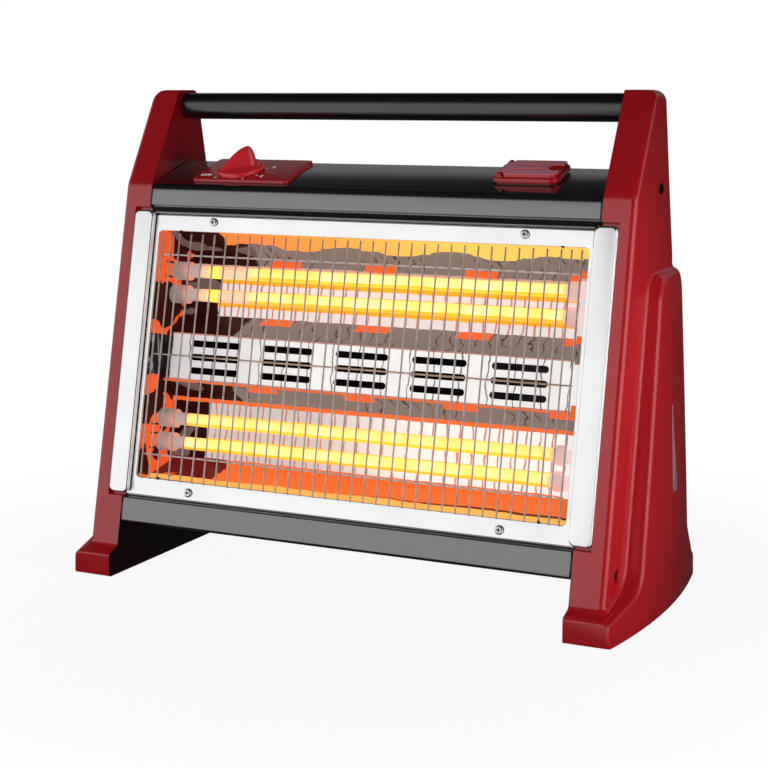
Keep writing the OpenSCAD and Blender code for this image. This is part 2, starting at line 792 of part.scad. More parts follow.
// Ring of points about point i of a line, square to the line there, turned by the direction up
function ring(line, i, r, up) =
  let (
    t = unit(line[min(i + 1, len(line) - 1)] - line[max(i - 1, 0)]),
    e = unit(cross(t, up)),
    f = cross(t, e)
  )
  [for (k = [0:sides - 1]) line[i] + r * (cos(360 * k / sides) * e + sin(360 * k / sides) * f)];
module swept(line, d, up) {
  n = len(line);
  polyhedron(
    points = [for (i = [0:n - 1]) each ring(line, i, d / 2, up)],
    faces = concat(
      [for (k = [1:sides - 2]) [0, k, k + 1]],
      [for (i = [0:n - 2], k = [0:sides - 1]) each let (
        a = i * sides + k,
        b = i * sides + (k + 1) % sides
      ) [[a, a + sides, b], [b, a + sides, b + sides]]],
      [for (k = [1:sides - 2]) [(n - 1) * sides, (n - 1) * sides + k + 1, (n - 1) * sides + k]]
    )
  );
}
coil_self_gap = min([for (i = [0:len(coil_line) - 1], j = [i + rings / 2:i + 2 * rings])
  if (j < len(coil_line)) norm(coil_line[i] - coil_line[j])]) - coil_wire;
echo(least_gap_between_coil_turns = coil_self_gap);
module heating_coil(i) {
  color(glow) place() on_front() translate([0, tube_d, tube_h[i]]) swept(coil_line, coil_wire, [0, 0, 1]);
}
module heating_coil_1() { heating_coil(0); }
module heating_coil_2() { heating_coil(1); }
module heating_coil_3() { heating_coil(2); }
module heating_coil_4() { heating_coil(3); }

// At every tube's two ends
module at_ends() {
  on_front() both_sides() for (h = tube_h) translate([0, tube_d, h]) children();
}
module ceramic_caps() {
  color(ceramic) place() at_ends() difference() {
    rod(cap_in, cap_out, cap_dia);
    rod(cap_in - over, tube_x + gap, tube_dia + 0.2);
    rod(cap_in, cap_out + over, terminal_dia + 0.1);
    difference() {
      rod(clip_x - 0.2, clip_x + clip_t + 0.2, cap_dia + 2);
      rod(clip_x - over, clip_x + clip_t + over, groove_dia);
    }
  }
}
module tube_terminals() {
  color(brass) place() at_ends() {
    rod(pin_in, pin_out, terminal_dia);
    rod(cap_out, cap_out + 2, terminal_dia + 3);
  }
}
module tube_holders() {
  tall = tube_gap / 2 + cap_dia / 2 + 3;
  color(steel) place() on_front() both_sides() for (s = [-1, 1])
    translate([0, 0, window_mid + s * pair_z]) difference() {
      translate([clip_x, tube_d - cap_dia, -tall]) cube([clip_t, 2 * cap_dia, 2 * tall]);
      for (k = [-1, 1]) translate([0, tube_d, k * tube_gap / 2]) {
        rod(clip_x - over, clip_x + clip_t + over, groove_dia + 0.2);
        translate([clip_x - over, 0, -groove_dia / 2 - 0.1]) cube([clip_t + 2 * over, big, groove_dia + 0.2]);
      }
    }
}

// Controls
module control_plate() {
  color(red) place() on_cover() difference() {
    translate([0, 0, 0.2]) linear_extrude(plate_t)
      soft_rect(plate_x0, plate_s0, plate_x0 + plate_w, plate_s0 + plate_d, 4);
    translate([knob_x, knob_s, -over]) cylinder(h = plate_t + 4, d = bush_dia + 2 * gap);
  }
}
module at_knob() { on_cover() translate([knob_x, knob_s, 0]) children(); }
module knob() {
  r = knob_dia / 2;
  color(red) place() at_knob() difference() {
    union() {
      translate([0, 0, knob_base_h]) rotate_extrude()
        polygon([[0, 0], [r, 0], [r, disc_h - 2], [r - 2, disc_h], [0, disc_h]]);
      rotate([0, 0, pointer_rest]) hull() {
        translate([r - 3, 0, knob_base_h + disc_h - over]) cylinder(h = 2, d = 3, $fn = 24);
        translate([-r + 8, 0, knob_base_h + disc_h - over]) cylinder(h = 2, d = 15, $fn = 24);
        translate([-r + 7, 0, knob_base_h + disc_h + grip_h - 3]) rotate([90, 0, 0])
          cylinder(h = 6, d = 6, center = true, $fn = 24);
      }
    }
    translate([0, 0, -over]) cylinder(h = knob_base_h + disc_h + 3, d = shaft_dia + 2 * run);
  }
}
module switch_shaft() {
  color(steel) place() at_knob() translate([0, 0, -shaft_in])
    cylinder(h = shaft_in + knob_base_h + disc_h + 1, d = shaft_dia);
}
module rotary_switch() {
  body = switch_size;
  color(black) place() at_knob() difference() {
    union() {
      translate([-body.x / 2, -body.y / 2, -body.z]) cube([body.x, body.y, body.z - sheet_t - gap]);
      translate([0, 0, -sheet_t - gap - over]) cylinder(h = sheet_t + gap + over + plate_t, d = bush_dia);
    }
    translate([0, 0, -shaft_in - gap]) cylinder(h = big, d = shaft_dia + 2 * run);
  }
}

// Humidifier filler and lid
module filler_frame() {
  color(red) place() on_cover() difference() {
    union() {
      translate([0, 0, 0.2]) linear_extrude(filler_h - 0.2)
        soft_rect(filler_x0, filler_s0, filler_x0 + filler_w, filler_s0 + filler_d, 5);
      translate([mouth_x0 - 2, mouth_s0 - 2, -neck_h])
        cube([mouth_x1 - mouth_x0 + 4, mouth_s1 - mouth_s0 + 4, neck_h + over]);
      for (s = [lid_s0, lid_s1 - ear_l]) hinge_barrel(s, ear_l, knuckle_dia);
    }
    translate([mouth_x0, mouth_s0, -big]) cube([mouth_x1 - mouth_x0, mouth_s1 - mouth_s0, 2 * big]);
    translate([hinge_x - knuckle_dia / 2 - 2, lid_s0 + ear_l, hinge_h - knuckle_dia / 2 - gap])
      cube([knuckle_dia + 4, lid_s1 - lid_s0 - 2 * ear_l, 2 * knuckle_dia]);
    hinge_barrel(filler_s0 - over, filler_d + 2 * over, pin_dia);
  }
}
module hinge_barrel(s, l, d) {
  translate([hinge_x, s, hinge_h]) rotate([-90, 0, 0]) cylinder(h = l, d = d);
}
module tank_lid() {
  plug = 2.5;
  inset = 1.5;
  low = filler_h + gap;
  color(red) place() on_cover() difference() {
    union() {
      translate([0, 0, low]) linear_extrude(lid_t)
        soft_rect(hinge_x + knuckle_dia / 2 + gap, lid_s0, lid_x1, lid_s1, 3);
      translate([mouth_x0 + inset, mouth_s0 + inset, low - plug])
        cube([mouth_x1 - mouth_x0 - 2 * inset, mouth_s1 - mouth_s0 - 2 * inset, plug + over]);
      hinge_barrel(lid_s0 + ear_l + gap, lid_s1 - lid_s0 - 2 * ear_l - 2 * gap, knuckle_dia);
      translate([hinge_x, lid_s0 + ear_l + gap, low])
        cube([knuckle_dia, lid_s1 - lid_s0 - 2 * ear_l - 2 * gap, lid_t]);
    }
    hinge_barrel(lid_s0 - over, lid_s1 - lid_s0 + 2 * over, pin_dia + 2 * run);
    for (k = [-1, 1]) translate([(mouth_x0 + mouth_x1) / 2 - 3, (lid_s0 + lid_s1) / 2 + k * 4.5, low + lid_t - 0.8])
      linear_extrude(lid_t) slot(30, 3);
    translate([lid_x1 + 1, (lid_s0 + lid_s1) / 2, low + lid_t + 1]) rotate([0, 0, 45])
      cylinder(h = 4, r1 = 6, r2 = 10, center = true, $fn = 4);
  }
}
module lid_hinge_pin() { color(steel) place() on_cover() hinge_barrel(lid_s0, lid_s1 - lid_s0, pin_dia); }

// Water tank: a leaning body behind the troughs with a chute up to the filler
function tank_outline(t) =
  let (
    low = tank_foot,
    high = front_point(trough_d + 7, tank_high),
    far_low = rear_at(low.y),
    far_high = rear_at(high.y - 8)
  )
  [low + [t, t], high + [t, -t], far_high + [-t, -t], far_low + [-t, t]];
function rear_at(z) = [pan_y - (z - pan_z) * tan(rear_lean) - tank_rear, z];
function chute_outline(t, up) = let (box = tank_outline(t)) [
  box[1] - [0, 20], box[1] + [0, 0],
  cover_point(mouth_s0 - 4 + t, up), cover_point(mouth_s1 + 4 - t, up),
  box[2] + [-2, 0], box[2] - [2, 20]
];
chute_x0 = mouth_x0 - 4;
chute_x1 = mouth_x1 + 4;
chute_up = -neck_h - 1.5;
module water_tank() {
  color(clear) place() difference() {
    union() {
      across(tank_x0, tank_x1) polygon(tank_outline(0));
      across(chute_x0, chute_x1) polygon(chute_outline(0, chute_up));
    }
    across(tank_x0 + tank_wall, tank_x1 - tank_wall) polygon(tank_outline(tank_wall));
    across(chute_x0 + tank_wall, chute_x1 - tank_wall) polygon(chute_outline(tank_wall, chute_up + over));
  }
}
module neck_seal() {
  color(black) place() on_cover() translate([0, 0, chute_up + 0.05]) linear_extrude(1.4) difference() {
    translate([chute_x0, mouth_s0 - 4]) square([chute_x1 - chute_x0, mouth_s1 - mouth_s0 + 8]);
    translate([mouth_x0 - 1, mouth_s0 - 1]) square([mouth_x1 - mouth_x0 + 2, mouth_s1 - mouth_s0 + 2]);
  }
}
module water_level_window() {
  color(clear) place() intersection() {
    level_prism(tank_x1, bow_x, 0);
    bow_body(0.4);
  }
}

// Screw with a cross-recessed pan head, its head's underside at z = 0 and its shank along -z
module screw(l) {
  translate([0, 0, -l]) cylinder(h = l + 0.1, d = screw_dia);
  difference() {
    rotate_extrude() polygon(concat(
      [[0, 0], [head_dia / 2, 0]],
      corner([head_dia / 2, 0], [head_dia / 2, head_h], [0, head_h], head_h * 0.7),
      [[0, head_h]]
    ));
    for (a = [0, 90]) rotate([0, 0, a]) translate([-2, -0.5, head_h - 1.2]) cube([4, 1, 2]);
  }
}
module front_frame_screws() {
  color(steel) place() on_front() for (s = [-1, 1], z = [screw_z_top, screw_z_low])
    translate([s * front_screw_x, front_d, z]) rotate([90, 0, 0]) screw(9);
}
module side_screws() {
  color(steel) place() both_sides() for (p = [upper_recess, lower_recess])
    translate([x_in + recess_seat, p.x, p.y]) rotate([0, 90, 0]) screw(recess_seat + 5);
}
module rear_screws() {
  color(steel) place() on_rear() for (x = rear_screw_x, h = rear_screw_h)
    translate([x, 0.2 + sheet_t, h]) rotate([-90, 0, 0]) screw(8);
}
module foot_pads() {
  color(black) place() both_sides() for (y = pad_ys) translate([x_in + pad_in, y, 0])
    linear_extrude(pad_h) soft_rect(0, 0, pad_w, pad_d, 4);
}

// Electrical fittings
module cord_gland() {
  color(black) place() on_rear() translate([gland_x, 0.2 + sheet_t, gland_h]) rotate([-90, 0, 0]) difference() {
    union() {
      cylinder(h = 3, d = gland_dia + 8);
      cylinder(h = 8, d = gland_dia);
      translate([0, 0, -14]) cylinder(h = 15, d = gland_dia);
      translate([0, 0, -8]) cylinder(h = 6.5, d = gland_dia + 7, $fn = 6);
    }
    translate([0, 0, -15]) cylinder(h = 30, d = 7.4);
  }
}

// Terminal block, tip-over switch and leads: sizes and places on the pan
block_size = [40, 18, 14];
pole_gap = 12;
pole_h = 6;
pole_dia = 5;
tip_base = [44, 28, 2];
tip_body = [34, 24, 20];
tab_size = [0.8, 8, 5];
tab_gap = 16;
tab_h = 10;
lead_dia = 6;
tip_lead_dia = 4;
lead_run = 12.7;
block_at = [gland_x + 45, pan_y - 85, pan_z + sheet_t];
tip_at = [gland_x + 150, pan_y - 75, pan_z + sheet_t];
module terminal_block() {
  color(ceramic) place() translate(block_at) difference() {
    translate([-block_size.x / 2, -block_size.y / 2, 0]) cube(block_size);
    for (x = [-pole_gap, 0, pole_gap]) translate([x, 0, pole_h]) {
      cylinder(h = block_size.z, d = pole_dia);
      rotate([90, 0, 0]) cylinder(h = 2 * block_size.y, d = pole_dia - 1, center = true);
    }
  }
}
module tip_over_switch() {
  color(black) place() translate(tip_at) {
    translate([-tip_base.x / 2, -tip_base.y / 2, 0]) cube(tip_base);
    translate([-tip_body.x / 2, -tip_body.y / 2, 0]) cube(tip_body);
    for (s = [-1, 1]) translate([s * tab_gap / 2 - tab_size.x / 2, tip_body.y / 2 - over, tab_h])
      cube(tab_size + [0, over, 0]);
  }
}

// Lead of diameter d through a list of points, its bends rounded
module lead(pts, d, up) {
  n = len(pts);
  line = [for (i = [0:n - 1])
    each (i == 0 || i == n - 1 ? [pts[i]] : corner(pts[i - 1], pts[i], pts[i + 1], 5))];
  swept(line, d, up);
}
module wiring() {
  b = block_at + [0, block_size.y / 2 + gap, pole_h];
  side = [pole_gap, 0, 0];
  out = [0, lead_run, 0];
  tab = tip_at + [tab_gap / 2, tip_body.y / 2 + tab_size.y + 5 * gap, tab_h + 2];
  end = cover_point(knob_s, -switch_size.z - 4);
  color(black) place() {
    lead([b, b + 2 * out, [knob_x, pan_y - 55, (pan_z + bend_z) / 2], [knob_x, end.x + 9, end.y - 20],
          [knob_x, end.x, end.y + 3.5]], lead_dia, [1, 0, 0]);
    lead([b - side, b - side + out, each [for (o = [-30.3, -14.7]) [gland_x, rear_point(o, gland_h + 2.2).x,
          rear_point(o, gland_h + 2.2).y]]], lead_dia, [1, 0, 0]);
    lead([b + side, b + side + out, tab + out, tab], tip_lead_dia, [0, 0, 1]);
  }
}

left_side_frame();
right_side_frame();
handle_tube();
top_cover();
rear_panel();
bottom_pan();
left_side_panel();
right_side_panel();
front_frame();
left_trim();
right_trim();
grille();
upper_reflector();
lower_reflector();
vent_panel();
left_end_plate();
right_end_plate();
quartz_tube_1();
quartz_tube_2();
quartz_tube_3();
quartz_tube_4();
heating_coil_1();
heating_coil_2();
heating_coil_3();
heating_coil_4();
ceramic_caps();
tube_holders();
tube_terminals();
control_plate();
knob();
switch_shaft();
rotary_switch();
filler_frame();
tank_lid();
lid_hinge_pin();
water_tank();
neck_seal();
water_level_window();
front_frame_screws();
side_screws();
rear_screws();
foot_pads();
cord_gland();
terminal_block();
tip_over_switch();
wiring();
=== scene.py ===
import json
import math

import bmesh
import bpy
import numpy as np
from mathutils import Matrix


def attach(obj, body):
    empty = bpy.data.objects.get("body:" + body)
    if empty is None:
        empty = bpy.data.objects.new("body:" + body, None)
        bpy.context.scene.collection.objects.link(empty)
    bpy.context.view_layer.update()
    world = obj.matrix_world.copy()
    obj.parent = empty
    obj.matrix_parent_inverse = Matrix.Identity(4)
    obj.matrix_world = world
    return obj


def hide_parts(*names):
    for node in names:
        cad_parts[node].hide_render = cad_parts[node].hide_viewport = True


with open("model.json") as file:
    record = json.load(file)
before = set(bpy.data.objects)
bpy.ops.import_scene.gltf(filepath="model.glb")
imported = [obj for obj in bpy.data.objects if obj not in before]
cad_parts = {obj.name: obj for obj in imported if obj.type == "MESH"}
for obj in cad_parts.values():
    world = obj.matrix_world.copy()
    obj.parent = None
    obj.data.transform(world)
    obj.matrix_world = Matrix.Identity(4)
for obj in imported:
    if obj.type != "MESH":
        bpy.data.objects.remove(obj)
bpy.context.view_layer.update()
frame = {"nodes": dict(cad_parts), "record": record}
print("frame loaded:", len(frame["nodes"]), "nodes")

mm = 0.001
halfDepth = 122.0  # the frame's origin, behind the front of the feet
lean, slope = math.radians(12), math.radians(17.5)  # the front leans back, the cover climbs to the rear
leanCos, leanSin, slopeCos, slopeSin = math.cos(lean), math.sin(lean), math.cos(slope), math.sin(slope)
leg = (13.0, 26.0)  # y and z where the leaning front starts
bend = (leg[0] + (348.7 - leg[1]) * math.tan(lean), 348.7)  # where it meets the cover
climb = 70.0  # length of the cover's slope
rearFoot = np.array([205.0, 47.5])
rearTop = np.array([bend[0] + climb * slopeCos, bend[1] + climb * slopeSin])
innerX = 215.0  # inner faces of the side frames
windowMid, pairOff, tubeOff = 177.0, 67.8, 10.75  # up the front: window, then a pair, then a tube
wirePitch = 12.153


# Places: each takes distances in mm along its own face and gives x, y, z in the frame
def onSide(x, y, z):
    return np.stack(np.broadcast_arrays(x, np.subtract(y, halfDepth), z), -1)


def onFront(x, depth, up):  # y = leg + depth cos + up sin, z = leg - depth sin + up cos
    return onSide(x, leg[0] + depth * leanCos + up * leanSin, leg[1] - depth * leanSin + up * leanCos)


def onFace(x, up, depth):
    return onFront(x, depth, up)


def onCover(x, along, lift):  # y = bend + along cos - lift sin, z = bend + along sin + lift cos
    return onSide(x, bend[0] + along * slopeCos - lift * slopeSin, bend[1] + along * slopeSin + lift * slopeCos)


# Curves and outlines
def fade(value, start, run):  # 0 up to the start, 1 from the end of the run
    return np.clip((value - start) / run, 0, 1)


def rollOff(r, into):  # fall of a quarter round of radius r at a distance into it
    return r - np.sqrt(np.maximum(r * r - np.square(np.clip(into, 0, r)), 0))


def fullTurn(steps):
    return np.linspace(0, 2 * math.pi, steps, endpoint=False)


def quarterTurn(steps):
    return np.linspace(0, math.pi / 2, steps)


def quarter(r, steps=5):  # inset and drop along a quarter round of radius r, from the side to the top
    angle = quarterTurn(steps + 1)
    return np.stack([r - r * np.cos(angle), r * np.sin(angle) - r], -1)


def rounded(corners, steps=8):  # each corner (a, b, r) becomes an arc of radius r that touches both of its sides
    points = []
    for i, (a, b, r) in enumerate(corners):
        p = np.array([a, b], float)
        if r <= 0 or i in (0, len(corners) - 1):
            points.append(p[None])
            continue
        back, ahead = (np.array(corners[k][:2], float) - p for k in (i - 1, i + 1))
        back, ahead = back / np.linalg.norm(back), ahead / np.linalg.norm(ahead)
        half = math.acos(np.clip(back @ ahead, -1, 1)) / 2
        middle = p + (back + ahead) / np.linalg.norm(back + ahead) * r / math.sin(half)
        first, last = (p + side * r / math.tan(half) - middle for side in (back, ahead))
        turn = math.atan2(first[0] * last[1] - first[1] * last[0], first @ last)
        angle = math.atan2(first[1], first[0]) + turn * np.linspace(0, 1, steps + 1)
        points.append(middle + r * np.stack([np.cos(angle), np.sin(angle)], -1))
    return np.concatenate(points)


def softRect(box, r, steps):  # four quarter arcs of radius r joined by straight sides
    x0, y0, x1, y1 = box
    middles = [(x1 - r, y1 - r), (x0 + r, y1 - r), (x0 + r, y0 + r), (x1 - r, y0 + r)]
    angle = [quarterTurn(steps + 1) + k * math.pi / 2 for k in range(4)]
    return np.concatenate([np.stack([x + r * np.cos(a), y + r * np.sin(a)], -1) for (x, y), a in zip(middles, angle)])


def inset(path, depth):  # a path moved to its right by depth, mitred where it turns
    step = np.diff(path, axis=0)
    step = step / np.linalg.norm(step, axis=1, keepdims=True)
    way = np.concatenate([step[:1], step[:-1] + step[1:], step[-1:]])
    way = way / np.linalg.norm(way, axis=1, keepdims=True)
    turn = (way * np.concatenate([step[:1], step])).sum(1, keepdims=True)
    return path + depth * np.stack([way[:, 1], -way[:, 0]], -1) / np.maximum(turn, 0.5)


def apart(path):  # the path without points that repeat the one before
    return path[np.concatenate([[True], np.linalg.norm(np.diff(path, axis=0), axis=1) > 1e-4])]


# Surfaces: each gives its points and its groups of faces
def gridFaces(rows, cols, closeRows=False, closeCols=False):
    counts = (rows if closeRows else rows - 1, cols if closeCols else cols - 1)
    r, c = np.meshgrid(*(np.arange(n) for n in counts), indexing="ij")
    r2, c2 = (r + 1) % rows, (c + 1) % cols
    return np.stack([r * cols + c, r * cols + c2, r2 * cols + c2, r2 * cols + c], -1).reshape(-1, 4)


def walled(outer, inner, keep=None):  # two grids a wall apart, with a rim along every free edge of the faces kept
    rows, cols = outer.shape[:2]
    far = rows * cols
    faces = gridFaces(rows, cols)
    faces = faces if keep is None else faces[keep.ravel()]
    ends = np.stack([faces, np.roll(faces, -1, 1)], -1).reshape(-1, 2)
    index, count = np.unique(np.sort(ends, 1) @ np.array([far, 1]), return_index=True, return_counts=True)[1:]
    free = ends[index[count == 1]]
    rim = np.stack([free[:, 1], free[:, 0], free[:, 0] + far, free[:, 1] + far], -1)
    return np.concatenate([outer.reshape(-1, 3), inner.reshape(-1, 3)]), [faces, faces[:, ::-1] + far, rim]


def loft(rings, around=False):  # closed rings joined in turn, with flat ends or back to the first
    k, n = rings.shape[:2]
    groups = [gridFaces(k, n, closeRows=around, closeCols=True)]
    if not around:
        groups += [np.arange(n)[None, ::-1], np.arange((k - 1) * n, k * n)[None]]
    return rings.reshape(-1, 3), groups


def softRings(box, corner, levels, place, least=1.0, steps=6):  # one soft outline at several insets and heights
    rings = []
    for g, height in levels:
        drawn = (box[0] + g, box[1] + g, box[2] - g, box[3] - g)
        rings.append(place(*softRect(drawn, max(corner - g, min(corner, least)), steps).T, height))
    return np.stack(rings)


def tubeAlong(path, radius, sides=12, up=(0, 0, 1)):  # circles of the given radius square to the path
    along = np.gradient(path, axis=0)
    along /= np.linalg.norm(along, axis=1, keepdims=True)
    side = np.cross(along, up)
    side /= np.linalg.norm(side, axis=1, keepdims=True)
    top = np.cross(side, along)
    angle = fullTurn(sides)[None, :, None]
    radius = np.broadcast_to(radius, len(path))[:, None, None]
    return loft(path[:, None] + radius * (np.cos(angle) * side[:, None] + np.sin(angle) * top[:, None]))


def domedRod(start, end, radius, up=(0, 0, 1)):  # straight rod whose ends are quarter rounds
    angle = np.radians([12, 40, 65, 90])
    reach, size = (1 - np.cos(angle)) * radius, np.sin(angle) * radius
    length = np.linalg.norm(end - start)
    at = np.concatenate([reach, (length - reach)[::-1]]) / length
    return tubeAlong(start + (end - start) * at[:, None], np.concatenate([size, size[::-1]]), up=up)


# Pieces
def putMesh(name, parts):
    points, loops, sizes, start = [], [], [], 0
    for pts, groups in parts:
        loops += [(g + start).ravel() for g in groups]
        sizes += [np.full(len(g), g.shape[1]) for g in groups]
        points.append(pts)
        start += len(pts)
    points, loops, sizes = np.concatenate(points) * mm, np.concatenate(loops), np.concatenate(sizes)
    mesh = bpy.data.meshes.new(name)
    mesh.vertices.add(len(points))
    mesh.vertices.foreach_set("co", points.astype(np.float32).ravel())
    mesh.loops.add(len(loops))
    mesh.loops.foreach_set("vertex_index", loops.astype(np.int32))
    mesh.polygons.add(len(sizes))
    mesh.polygons.foreach_set("loop_start", np.concatenate([[0], np.cumsum(sizes)[:-1]]).astype(np.int32))
    mesh.update(calc_edges=True)
    mesh.validate()
    return mesh


slotOf = {part["node"]: part["material_slot"] for part in frame["record"]["subparts"]}


def makePiece(name, made, finish, node=None, slot=None, body="housing", rework=None, sharp=35):
    mesh = putMesh(name, made) if isinstance(made, list) else made  # surfaces, or a mesh already
    bm = bmesh.new()
    bm.from_mesh(mesh)
    bmesh.ops.remove_doubles(bm, verts=bm.verts, dist=1e-6)
    bmesh.ops.dissolve_degenerate(bm, edges=bm.edges, dist=1e-7)
    if rework:
        rework(bm)
    bmesh.ops.delete(bm, geom=[v for v in bm.verts if not v.link_faces], context="VERTS")
    bmesh.ops.recalc_face_normals(bm, faces=bm.faces)
    bm.to_mesh(mesh)
    bm.free()
    mesh.shade_smooth()
    mesh.set_sharp_from_angle(angle=math.radians(sharp))
    mesh.materials.append(finish.material)
    piece = bpy.data.objects.new(name, mesh)
    bpy.context.scene.collection.objects.link(piece)
    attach(piece, body)
    slot or slotOf[node]
    if node:
        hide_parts(node)


# Finishes: a socket wrapped so that sums add Math nodes, and one method that makes every other node
def mathNode(operation, swapped=False):
    def work(self, other=0.0):
        a, b = (other, self) if swapped else (self, other)
        return self.finish.node("ShaderNodeMath", {"operation": operation}, {0: a, 1: b})
    return work


class Socket:
    def __init__(self, finish, socket):
        self.finish, self.socket = finish, socket

    __add__, __radd__ = mathNode("ADD"), mathNode("ADD", True)
    __sub__, __rsub__ = mathNode("SUBTRACT"), mathNode("SUBTRACT", True)
    __mul__, __rmul__ = mathNode("MULTIPLY"), mathNode("MULTIPLY", True)
    __truediv__, __rtruediv__ = mathNode("DIVIDE"), mathNode("DIVIDE", True)
    __abs__, fraction, sine, turnFrom = (mathNode(kind) for kind in ("ABSOLUTE", "FRACT", "SINE", "ARCTAN2"))
    below, above = mathNode("LESS_THAN"), mathNode("GREATER_THAN")

    def between(self, low, high):
        return self.above(low) * self.below(high)

    def ramp(self, start, end, low=0.0, high=1.0):  # eased from low at start to high at end
        return self.finish.node("ShaderNodeMapRange", {"interpolation_type": "SMOOTHSTEP"},
                                {"Value": self, "From Min": start, "From Max": end, "To Min": low, "To Max": high})

    def fall(self, start, end):
        return self.ramp(start, end, 1.0, 0.0)

    def clamp(self):
        return self.finish.node("ShaderNodeClamp", {}, {0: self})


class Finish:
    def __init__(self, name, world=None):
        self.material = world or bpy.data.materials.new(name)
        self.material.use_nodes = True
        self.tree = self.material.node_tree
        self.tree.nodes.clear()
        self.spot = self.node("ShaderNodeTexCoord", output="Generated" if world else "Object")

    def node(self, kind, settings=None, sockets=None, output=0):
        made = self.tree.nodes.new(kind)
        for key, value in (settings or {}).items():
            if key == "stops":  # each colour holds up to the next stop
                ramp = made.color_ramp
                ramp.interpolation = "CONSTANT"
                while len(ramp.elements) < len(value):
                    ramp.elements.new(1.0)
                for stop, (place, colour) in zip(ramp.elements, value):
                    stop.position, stop.color = place, (*colour, 1)
            else:
                setattr(made, key, value)
        for key, value in (sockets or {}).items():
            if isinstance(value, Socket):
                self.tree.links.new(value.socket, made.inputs[key])
            else:
                made.inputs[key].default_value = value
        return Socket(self, made.outputs[output])

    def parts(self, vector):  # its x, y and z
        split = self.node("ShaderNodeSeparateXYZ", {}, {0: vector})
        return [Socket(self, out) for out in split.socket.node.outputs]

    def place(self):  # x, y and z of the surface in the frame, in metres
        return self.parts(self.spot)

    def front(self):  # x, depth behind the leaning front and height up it, in mm
        x, y, z = self.place()
        y, z = (y + (halfDepth - leg[0]) * mm) * 1000, (z - leg[1] * mm) * 1000
        return x * 1000, y * leanCos - z * leanSin, y * leanSin + z * leanCos

    def facing(self):  # how far the surface looks to the rear of the leaning front, and how far up it
        x, y, z = self.parts(self.node("ShaderNodeNewGeometry", output="Normal"))
        return y * leanCos - z * leanSin, y * leanSin + z * leanCos

    def noise(self, scale, detail=2.0, distortion=0.0):  # with one scale, or one each for x, y and z
        vector = self.spot
        if isinstance(scale, tuple):
            vector, scale = self.node("ShaderNodeMapping", {}, {"Vector": vector, "Scale": scale}), 1.0
        return self.node("ShaderNodeTexNoise", {},
                         {"Vector": vector, "Scale": scale, "Detail": detail, "Distortion": distortion})

    def blend(self, factor, a, b):
        a, b = (c if isinstance(c, Socket) else (*c, 1) for c in (a, b))
        return self.node("ShaderNodeMix", {"data_type": "RGBA"}, {0: factor, 6: a, 7: b}, 2)

    def layered(self, colour, *layers):  # each paint laid over what lies below it, by its mask
        for mask, paint in layers:
            colour = self.blend(mask, colour, paint)
        return colour

    def bump(self, height, strength, distance=0.0001):
        return self.node("ShaderNodeBump", {}, {"Height": height, "Strength": strength, "Distance": distance})

    def surface(self, colour, rough, glow=0.0, **more):
        sockets = {"Base Color": colour, "Roughness": rough}
        if glow:
            sockets |= {"Emission Color": colour, "Emission Strength": glow}
        sockets |= {key.replace("_", " "): value for key, value in more.items()}
        return self.finishWith(self.node("ShaderNodeBsdfPrincipled", {}, sockets))

    def finishWith(self, shader, kind="Material"):
        made = self.tree.nodes.new("ShaderNodeOutput" + kind)
        self.tree.links.new(shader.socket, made.inputs["Surface"])
        return self


def offTubes(up):  # distance up the front from the nearest tube's axis
    return abs(abs(abs(up - windowMid) - pairOff) - tubeOff)


recess = {"at": ((146.7, 350.7), (43.18, 48.0)), "radius": 6.0, "floor": 220.0}  # screw holes of the side frames


def redPlastic(name, dark, pale, paleTopAbove=None):  # gloss moulding: faint flow marks in the colour, a ripple in the gloss
    f = Finish(name)
    x, y, z = f.place()
    haze, ripple = f.noise(46.0, 4.0), f.noise(320.0, 1.0)
    colour = f.blend(f.noise(9.0, 3.0).ramp(0.3, 0.7), dark, pale)
    if paleTopAbove:  # painted sheen: a paler, pinker face above the given lift over the cover, standing in for its reflection
        lift = (z * 1000 - bend[1]) * slopeCos - (y * 1000 + halfDepth - bend[0]) * slopeSin
        colour = f.blend(lift.above(paleTopAbove), colour, (0.76, 0.22, 0.29))
    else:  # painted shade: near black low on the frames' inner faces and deep red above, near black in their screw holes
        shade = f.blend(z.ramp(0.05, 0.09), (0.008, 0.0002, 0.0003), (0.24, 0.002, 0.004))
        colour = f.blend(abs(abs(x) - innerX * mm).below(0.0004), colour, shade)
        for atY, atZ in recess["at"]:
            offY, offZ = y - (atY - halfDepth) * mm, z - atZ * mm
            round2 = ((recess["radius"] + 0.1) * mm) ** 2
            holeShade = (offY * offY + offZ * offZ).below(round2) * abs(x).below(0.2425)
            colour = f.blend(holeShade, colour, (0.006, 0.0003, 0.0004))
    return f.surface(colour, 0.19 + 0.06 * haze, Normal=f.bump(ripple, 0.02), Specular_IOR_Level=0.8)


def blackPaint(name, rough, level, coat=0.0, coatIndex=1.5):  # gloss black: orange peel, and a dulling cloud
    f = Finish(name)
    peel, cloud = f.noise(420.0), f.noise(14.0, 3.0)
    colour = f.blend(cloud.ramp(0.35, 0.7), (0.004, 0.0045, 0.0045), (0.006, 0.007, 0.007))
    return f.surface(colour, rough + 0.06 * cloud, Normal=f.bump(peel, 0.05, 0.0002), Specular_IOR_Level=level,
                     Coat_Weight=coat, Coat_Roughness=0.12, Coat_IOR=coatIndex)


def brightSteel(name, seam):  # plated sheet: near white, faint rolling lines along it; dull in some seams, near black with painted shade in others
    f = Finish(name)
    lines, cloud = f.noise((6.0, 900.0, 900.0), 3.0), f.noise(18.0, 3.0)
    dark, dull = seam(*f.front())
    colour = f.blend(cloud.ramp(0.3, 0.7), (0.90, 0.905, 0.91), (0.96, 0.965, 0.965))
    return f.surface(f.blend(dark, colour, (0.006, 0.006, 0.006)), 0.14 + 0.10 * lines + 0.05 * cloud,
                     Metallic=1.0 - dark - dull, Normal=f.bump(lines, 0.04))


